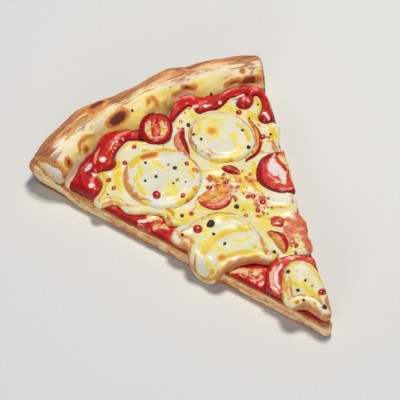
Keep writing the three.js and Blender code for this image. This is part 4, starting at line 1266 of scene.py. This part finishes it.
def makeTomatoSlice(name):
    look = tomatoLook[name]
    centre, seed, ring = look["centre"], look["seed"], look["ring"]
    disc = roundOutline(centre, look["size"], wobble=0.012, lobes=5, phase=seed)
    outline = counterclockwise(insideCuts(disc, look["past"]))
    low = pizza["cheeseLevel"] - 0.3
    high = low + look["thickness"] + 0.3
    piece, points, inside, up = slab("cut_" + name, outline, low, high, tomatoLook["voxel"],
                                     lip=0.9, belly=0.5, tuck=0.4)
    radius = np.hypot(*((points[:, :2] - centre) / np.array(look["size"]) * 2).T)
    skin, core, pale, chamber = cutMarks(wander(points * (1, 1, 0), 2.2, 0.3, seed), look)
    top = ease(0.6, 0.95, up)
    rolling = rough(points, seed, (0.2, 3.2), (0.14, 1.5))
    wells = look["well"] * np.maximum(chamber, 0.6 * core) - 0.3 * skin - 0.25 * ring * ease(0.8, 0.95, radius)
    points[:, 2] = low + up * (high - low) + (rolling - wells) * top
    points[:, 2] -= up * look["tilt"] * (points[:, 1] - centre[1])
    writePoints(piece, points)
    relax(piece, 1)
    rim = ease(0.84, 0.98, radius) * (0.2 + 0.8 * ring)
    side = (1 - ease(0.35, 0.7, up)) * (0.3 + 0.7 * ring)
    return dressTomato(piece, name, np.maximum.reduce((rim, skin, side)), core * top, pale * top, chamber * top)


# Ripe tomato, sliced and roasted: wet, translucent flesh, tighter and deeper red at the skin
tomatoMaterial = foodMaterial(
    "roastTomatoFlesh", "CC2A1E D9452E", patchSize=4, bumps=[(1.2, 0.12), (0.5, 0.05)], roughness=(0.2, 0.38),
    shader={"Subsurface Weight": 0.12, "Subsurface Radius": (1, 0.3, 0.15), "Subsurface Scale": 0.0015,
            "Specular IOR Level": 0.35, "Coat Weight": 0.16, "Coat Roughness": 0.1},
    layers=[
        dict(mask="pale", colours="DD5A40 E98468 F2B296", grain=1.3, toneSize=1.4, toning=1.2, breakUp=1.1, low=0.1),
        dict(mask="chamber", colours="E27A38 E9A446 EDC668", grain=1.2, toneSize=1.3, toning=1.3, breakUp=0.7,
             low=0.1, high=0.5),
        dict(mask="core", colours="E2765E EFC0AC F1E2D8", grain=1.0, toneSize=1.1, toning=1.1, breakUp=0.9, low=0.05),
        dict(mask="skin", colours="CC1C18 B40E12 960A12", grain=1.4, breakUp=0.6, low=0.25, high=0.55, toning=0.8),
    ],
)
tomatoes = [makeTomatoSlice(name) for name in ("tomato_slice_tip", "tomato_half_side", "tomato_slice_sunk")]

# half a small tomato, cut face up, leaning back on the rim; strokes are across and up its face
halfLook = {
    "centre": (-4.9, 143.7, 17.5), "size": 17, "depth": 6.4, "faces": (-0.3, -0.52, 0.8), "up": (0.41, 0.63, 0.65),
    "voxel": 0.32,
    "chamber": [(4.6, 1, (-3.4, 3.6), (-4, 0), (-2.6, -3.6)), (4.8, 1, (2.6, 3.4), (4, 0.4), (3, -3.4))],
    "core": [
        (1.8, 0.8, (-4.6, 2.8), (-5, -0.6)), (1.8, 0.8, (4.6, 2.6), (5.2, -1)), (1.6, 0.5, (-2.2, -4.4), (2, -4.6)),
    ],
    "pale": [(7, 0.38, (0, 3.6), (0, -4.6))],
    "skin": [
        (2, 0.75, (0.6, 5.6), (0.2, 3)), (0.8, 0.6, (-0.2, 4), (-1.2, 0), (-1.6, -4)),
        (0.8, 0.6, (0.6, 4), (1.2, 0), (1.8, -4)),
    ],
}


def makeRimHalf():
    half = newPiece("small_tomato_half", bpy.ops.mesh.primitive_uv_sphere_add, segments=48, ring_count=24,
                    radius=halfLook["size"] / 2000)
    editAll(half)
    bpy.ops.mesh.bisect(plane_co=(0, 0, 0), plane_no=(0, 0, 1), use_fill=True, clear_outer=True)
    bpy.ops.mesh.select_all(action="SELECT")
    bpy.ops.transform.resize(value=(1, 1, halfLook["depth"] / (halfLook["size"] / 2)), center_override=(0, 0, 0))
    remesh(half, halfLook["voxel"])
    relax(half, 3)
    local = readRows(half.data.vertices, "co") * 1000
    face = ease(-0.9, -0.3, local[:, 2])
    radius = np.hypot(local[:, 0], local[:, 1]) / (halfLook["size"] / 2)
    turn = np.arctan2(local[:, 1], local[:, 0])
    # the stem end makes a notch at the top
    notch = 0.09 * np.exp(-((turn - 1.5) / 0.2) ** 2) * ease(0.5, 0.95, radius)
    skin, core, pale, chamber = cutMarks(wander(local * (1, 1, 0), 2, 0.22, 71), halfLook)
    chamber = ease(0.15, 0.6, chamber)
    ring = ease(0.7, 0.84, radius + 0.07 * np.cos(turn - 3.9))
    local[:, 2] -= (1.0 * chamber - 0.25 * ring) * face
    local[:, 2] += face * 0.14 * softNoise(local, 1.6, 72)
    local[:, :2] *= (1 - notch)[:, None]
    towards = Vector(halfLook["faces"]).normalized()
    side = Vector(halfLook["up"]).cross(towards).normalized()
    writePoints(half, local @ np.array([side, towards.cross(side), towards]) + halfLook["centre"])
    skin = np.maximum.reduce((ring, skin * face, 1 - face))
    return dressTomato(half, "tomato_half_rim", skin, core * face, pale * face, chamber * face)


tomatoes.append(makeRimHalf())

scrapsLook = {
    "voxel": 0.3,
    # spine from end to end, full width, thickness, on which side the skin is (1 to the right of the spine, 0 all
    # round), how much of it shows, and how far the rest has roasted to orange
    "tomato_sliver": ([(10, 107.4), (13.2, 104), (15.6, 98.4)], 5.4, 2.4, 0, 0.95, 0),
    "tomato_piece": ([(10, 63.6), (13, 64.4), (17.4, 64)], 7.4, 1.5, 0, 0.3, 0.2),
    "tomato_wedge": ([(5.4, 61.6), (8, 56), (7.4, 51), (5, 46.6)], 6.4, 2.6, -1, 0.6, 0.75),
    "tomato_curl": ([(9.2, 140.4), (3.4, 135), (0.6, 122)], 6.4, 2.4, -1, 0.9, 0.35),
    "tomato_strip": ([(22.2, 104.6), (31, 107), (38.2, 116.5), (40, 128.4)], 3.3, 2, 1, 0.75, 0.9),
}


def makeScrap(name):
    # a strip along a curve, widest in the middle and pointed at both ends
    path, width, tall, skinSide, skinny, roasted = scrapsLook[name]
    spine = smoothPath(path, 0.5, closed=False)
    across = rightOf(np.gradient(spine, axis=0))
    share = np.linspace(0, 1, len(spine))
    half = width / 2 * np.maximum(np.sin(math.pi * share), 0.03)[:, None] ** 0.7
    outline = counterclockwise(np.vstack((spine + across * half, (spine - across * half)[::-1])))
    low = pizza["toppingLevel"] - 0.9
    piece, points, inside, up = slab("cut_" + name, outline, low, low + tall, scrapsLook["voxel"], lip=width * 0.3)
    points[:, 2] += rough(points, 81, (0.18, 2.4), (0.08, 1.2))
    writePoints(piece, points)
    relax(piece, 1)
    _, along = distanceTo(points, spine)
    nearest = np.clip(np.round(along * (len(spine) - 1)).astype(int), 0, len(spine) - 1)
    aside = np.sum((points[:, :2] - spine[nearest]) * across[nearest], axis=1) / (width / 2)
    if skinSide:
        flesh = 0.7 * (1 - ease(-0.2, 0.1, aside * skinSide))
        band = ease(-0.1, 0.25, aside * skinSide)
        edge = 0.3 * (1 - ease(0.1, 0.5, inside))
    else:
        flesh = 0.5 * np.exp(-(aside / 0.22) ** 2)
        band = ease(0.1, 0.5, np.abs(aside))
        edge = (0.5 - flesh) * skinny
    streak = np.exp(-((aside + 0.1 * skinSide) / 0.13) ** 2) * ease(0.4, 1.2, inside)
    core = streak * abs(skinSide) * ease(-0.3, 0.3, softNoise(points, 3, 83))
    chamber = roasted * np.maximum(flesh, 0.7 * ease(0.3, 0.5, share[nearest]))
    return dressTomato(piece, name, np.maximum(edge, band * skinny), core, flesh, chamber)


tomatoes += [makeScrap(name) for name in scrapsLook if name != "voxel"]

# Small things scattered on top, as (x, y, size): how round each grain is, how flat it lies, how far
# out of the food it stands, how narrow it can be or is, and what it is made of
scatterLook = {
    # Black pepper, cracked: hard, rough and near black with a paler broken inside
    "pepper": dict(
        roundness=0.75, flatten=0.7, lift=0.15,
        material=dict(
            name="crackedBlackPepper", colours="1E1512 3A2A22", patchSize=1, bumps=[(0.4, 0.1)],
            roughness=(0.4, 0.7), shader={},
        ),
        places=[
            (-20.5, 128.5, 1.6), (-10.5, 117.5, 2.2), (-21, 118, 1.8), (-27, 118.5, 1.5), (-16.5, 109.5, 1.2),
            (-11, 107, 1), (11, 127, 1.7), (10, 132, 1.6), (12.5, 141, 2.4), (7, 142, 1), (19, 150, 1.2),
            (15.5, 149, 0.9), (-22.5, 92.5, 2), (-45.5, 123, 1), (28, 110, 2.2), (31.5, 120.5, 1.6), (50, 133.5, 1.2),
            (43.5, 113, 1.5), (33, 151.5, 1.7), (36, 149, 1), (-10.5, 157, 1.5), (-15, 79, 4.1), (-17, 73.5, 1.6),
            (-16, 65.5, 1.7), (-30, 80.5, 1.6), (2.5, 82.5, 2.6), (4, 86, 1.1), (16.5, 73, 1), (12.5, 71, 1),
            (0.5, 48.5, 2), (-1.5, 34.5, 2), (2.5, 26.5, 1.4), (-4, 23.5, 1.9), (-5, 17.5, 1.3), (0.5, 9, 2.2),
            (10.5, 48.5, 1),
        ],
    ),
    # Pink peppercorns, dried: a smooth brittle red husk
    "redPeppercorn": dict(
        roundness=0.95, flatten=0.6, lift=0.1,
        material=dict(
            name="driedPinkPeppercorn", colours="B3161A D0302A", patchSize=1, bumps=[(0.6, 0.04)],
            roughness=(0.15, 0.3), shader={"Coat Weight": 0.5, "Coat Roughness": 0.1},
        ),
        places=[
            (-27, 108, 4.4), (-4, 117, 2.4), (-16.5, 101, 2.6), (-40.5, 130.5, 2.8), (-41, 125, 2.4),
            (-18.5, 142.5, 2.5), (-28, 136, 2.7), (-18, 91, 2.2), (39, 114, 3.2), (38.5, 134, 3.2), (7, 98.5, 2.6),
            (-22, 79.5, 4.6), (-2, 100, 2.8), (13, 84, 2.7), (10.5, 85, 2.3), (14.5, 78, 3.4), (9.5, 75, 2.6),
            (4.5, 16.5, 3.8), (-12.5, 43.5, 2.2), (12.5, 47.5, 2.4),
        ],
    ),
    # Oil tinted by tomato: a thin clear orange lens
    "oilDrop": dict(
        roundness=0.9, flatten=0.22, lift=0.1, slot="sauce",
        material=dict(
            name="tomatoOil", colours="E07A22 EC9A3C", patchSize=1, bumps=[(0.6, 0.02)],
            roughness=(0.05, 0.12),
            shader={"Subsurface Weight": 0.4, "Subsurface Scale": 0.001, "Coat Weight": 0.6, "Coat Roughness": 0.05},
        ),
        places=[
            (-2.5, 111.5, 3.6), (10.5, 145, 2.6), (3, 104, 2.4), (36.5, 111, 2.2), (3, 75.5, 2.4), (7.5, 72, 2.4),
            (-2.5, 50, 2.8), (-8, 18.5, 2.2), (17.5, 56.5, 3), (13, 57, 2.2), (13, 52, 2.6), (13, 90.5, 1.8),
            (8, 94, 1.6), (10, 88, 1.6), (4, 79, 1.6), (1.8, 97.5, 2.4),
        ],
    ),
    # Dried oregano: matt flakes of grey green leaf
    "herb": dict(
        roundness=0.5, flatten=0.18, lift=0.3,
        material=dict(
            name="driedOregano", colours="6E7A2C 8C9440", patchSize=1, bumps=[(0.5, 0.1)],
            roughness=(0.6, 0.8), shader={},
        ),
        places=[(-13.5, 110.5, 2), (5, 88, 1.6), (-12, 121, 1.6), (29, 108, 2), (9.5, 44, 1.8), (3, 22, 1.4)],
    ),
    # Tomato seeds: smooth, straw coloured, wet
    "tomatoSeed": dict(
        roundness=0.98, flatten=0.35, lift=0.2, narrow=0.7, alike=True,
        material=dict(
            name="tomatoSeed", colours="E6CC7E F2E2A8", patchSize=1, bumps=[(0.4, 0.03)],
            roughness=(0.12, 0.25), shader={"Coat Weight": 0.3},
        ),
        places=[
            (37.6, 96, 2.2), (38.2, 92.4, 2.3), (37, 88.8, 2), (35, 82.4, 2), (27, 84, 1.6), (-7.7, 146.4, 2),
            (-8.7, 144.2, 1.9), (-6, 147.8, 1.8), (-1.1, 142.9, 2), (-2.9, 140.5, 1.9), (-0.5, 144.7, 1.8),
        ],
    ),
    # Chilli flakes: thin, dry, orange to brick red
    "chilliFlake": dict(
        roundness=0.6, flatten=0.2, lift=0.3,
        material=dict(
            name="driedChilliFlake", colours="E07E38 C04A2A", patchSize=1, bumps=[(0.4, 0.08)],
            roughness=(0.35, 0.6), shader={},
        ),
        # where they fell thickly: middle, how far they spread and how many
        groups=[
            (4, 100, 7, 13), (13, 95, 7, 11), (13, 84, 8, 8), (11, 75, 7, 6), (20, 57, 7, 5), (15, 48, 4, 3),
            (-35, 98, 3, 3), (-14, 48, 4, 5), (41, 114, 5, 4),
        ],
    ),
}


def flakePlaces(groups):
    randomly = np.random.default_rng(96)
    return [(x + dx, y + dy, randomly.uniform(1.1, 2.5)) for x, y, spread, count in groups
            for dx, dy in randomly.normal(0, spread / 2, (count, 2))]


def topSurface():
    corners, faces = [], []
    for piece in [crust, sauce, cheese] + rounds + melts + tomatoes:
        first = len(corners)
        corners += list(readPoints(piece))
        faces += [tuple(first + v for v in face.vertices) for face in piece.data.polygons]
    return BVHTree.FromPolygons(corners, faces)


def roughGrain(roundness):
    # about 1 mm across, to copy
    grain = newPiece("grain", bpy.ops.mesh.primitive_ico_sphere_add, subdivisions=3, radius=0.0005)
    local = readRows(grain.data.vertices, "co")
    local *= (1 + (1 - roundness) * softNoise(local * 1000, 0.45, 91))[:, None]
    grain.data.vertices.foreach_set("co", local.ravel())
    return grain


def scatter(kind, surface, material, roundness, flatten, lift, narrow=0.85, alike=False, slot=None, places=(),
            groups=()):
    grain = roughGrain(roundness)
    randomly = np.random.default_rng(len(kind))
    copies = []
    for x, y, size in list(places) + flakePlaces(groups):
        hit, normal, _, _ = surface.ray_cast(Vector((x, y, 60)), Vector((0, 0, -1)))
        if not hit:  # beside the slice
            continue
        copy = grain.copy()
        copy.data = grain.data.copy()
        bpy.context.scene.collection.objects.link(copy)
        spin = Matrix.Rotation(randomly.uniform(0, 6.28), 4, "Z")
        upright = normal.to_track_quat("Z", "Y").to_matrix().to_4x4()
        wide = 1 / narrow if alike else randomly.uniform(narrow, 2 - narrow)
        shape = Matrix.Diagonal((size * wide, size / wide, size * flatten, 1))
        high = place(*(hit + normal * size * flatten * lift))
        copy.data.transform(Matrix.Translation(high) @ upright @ spin @ shape)
        copies.append(copy)
    selectOnly(*copies)
    bpy.ops.object.join()
    copies[0].name = kind
    dress(copies[0], foodMaterial(**material), ())
    bpy.data.objects.remove(grain)


top = topSurface()
for kind, look in scatterLook.items():
    scatter(kind, top, **look)
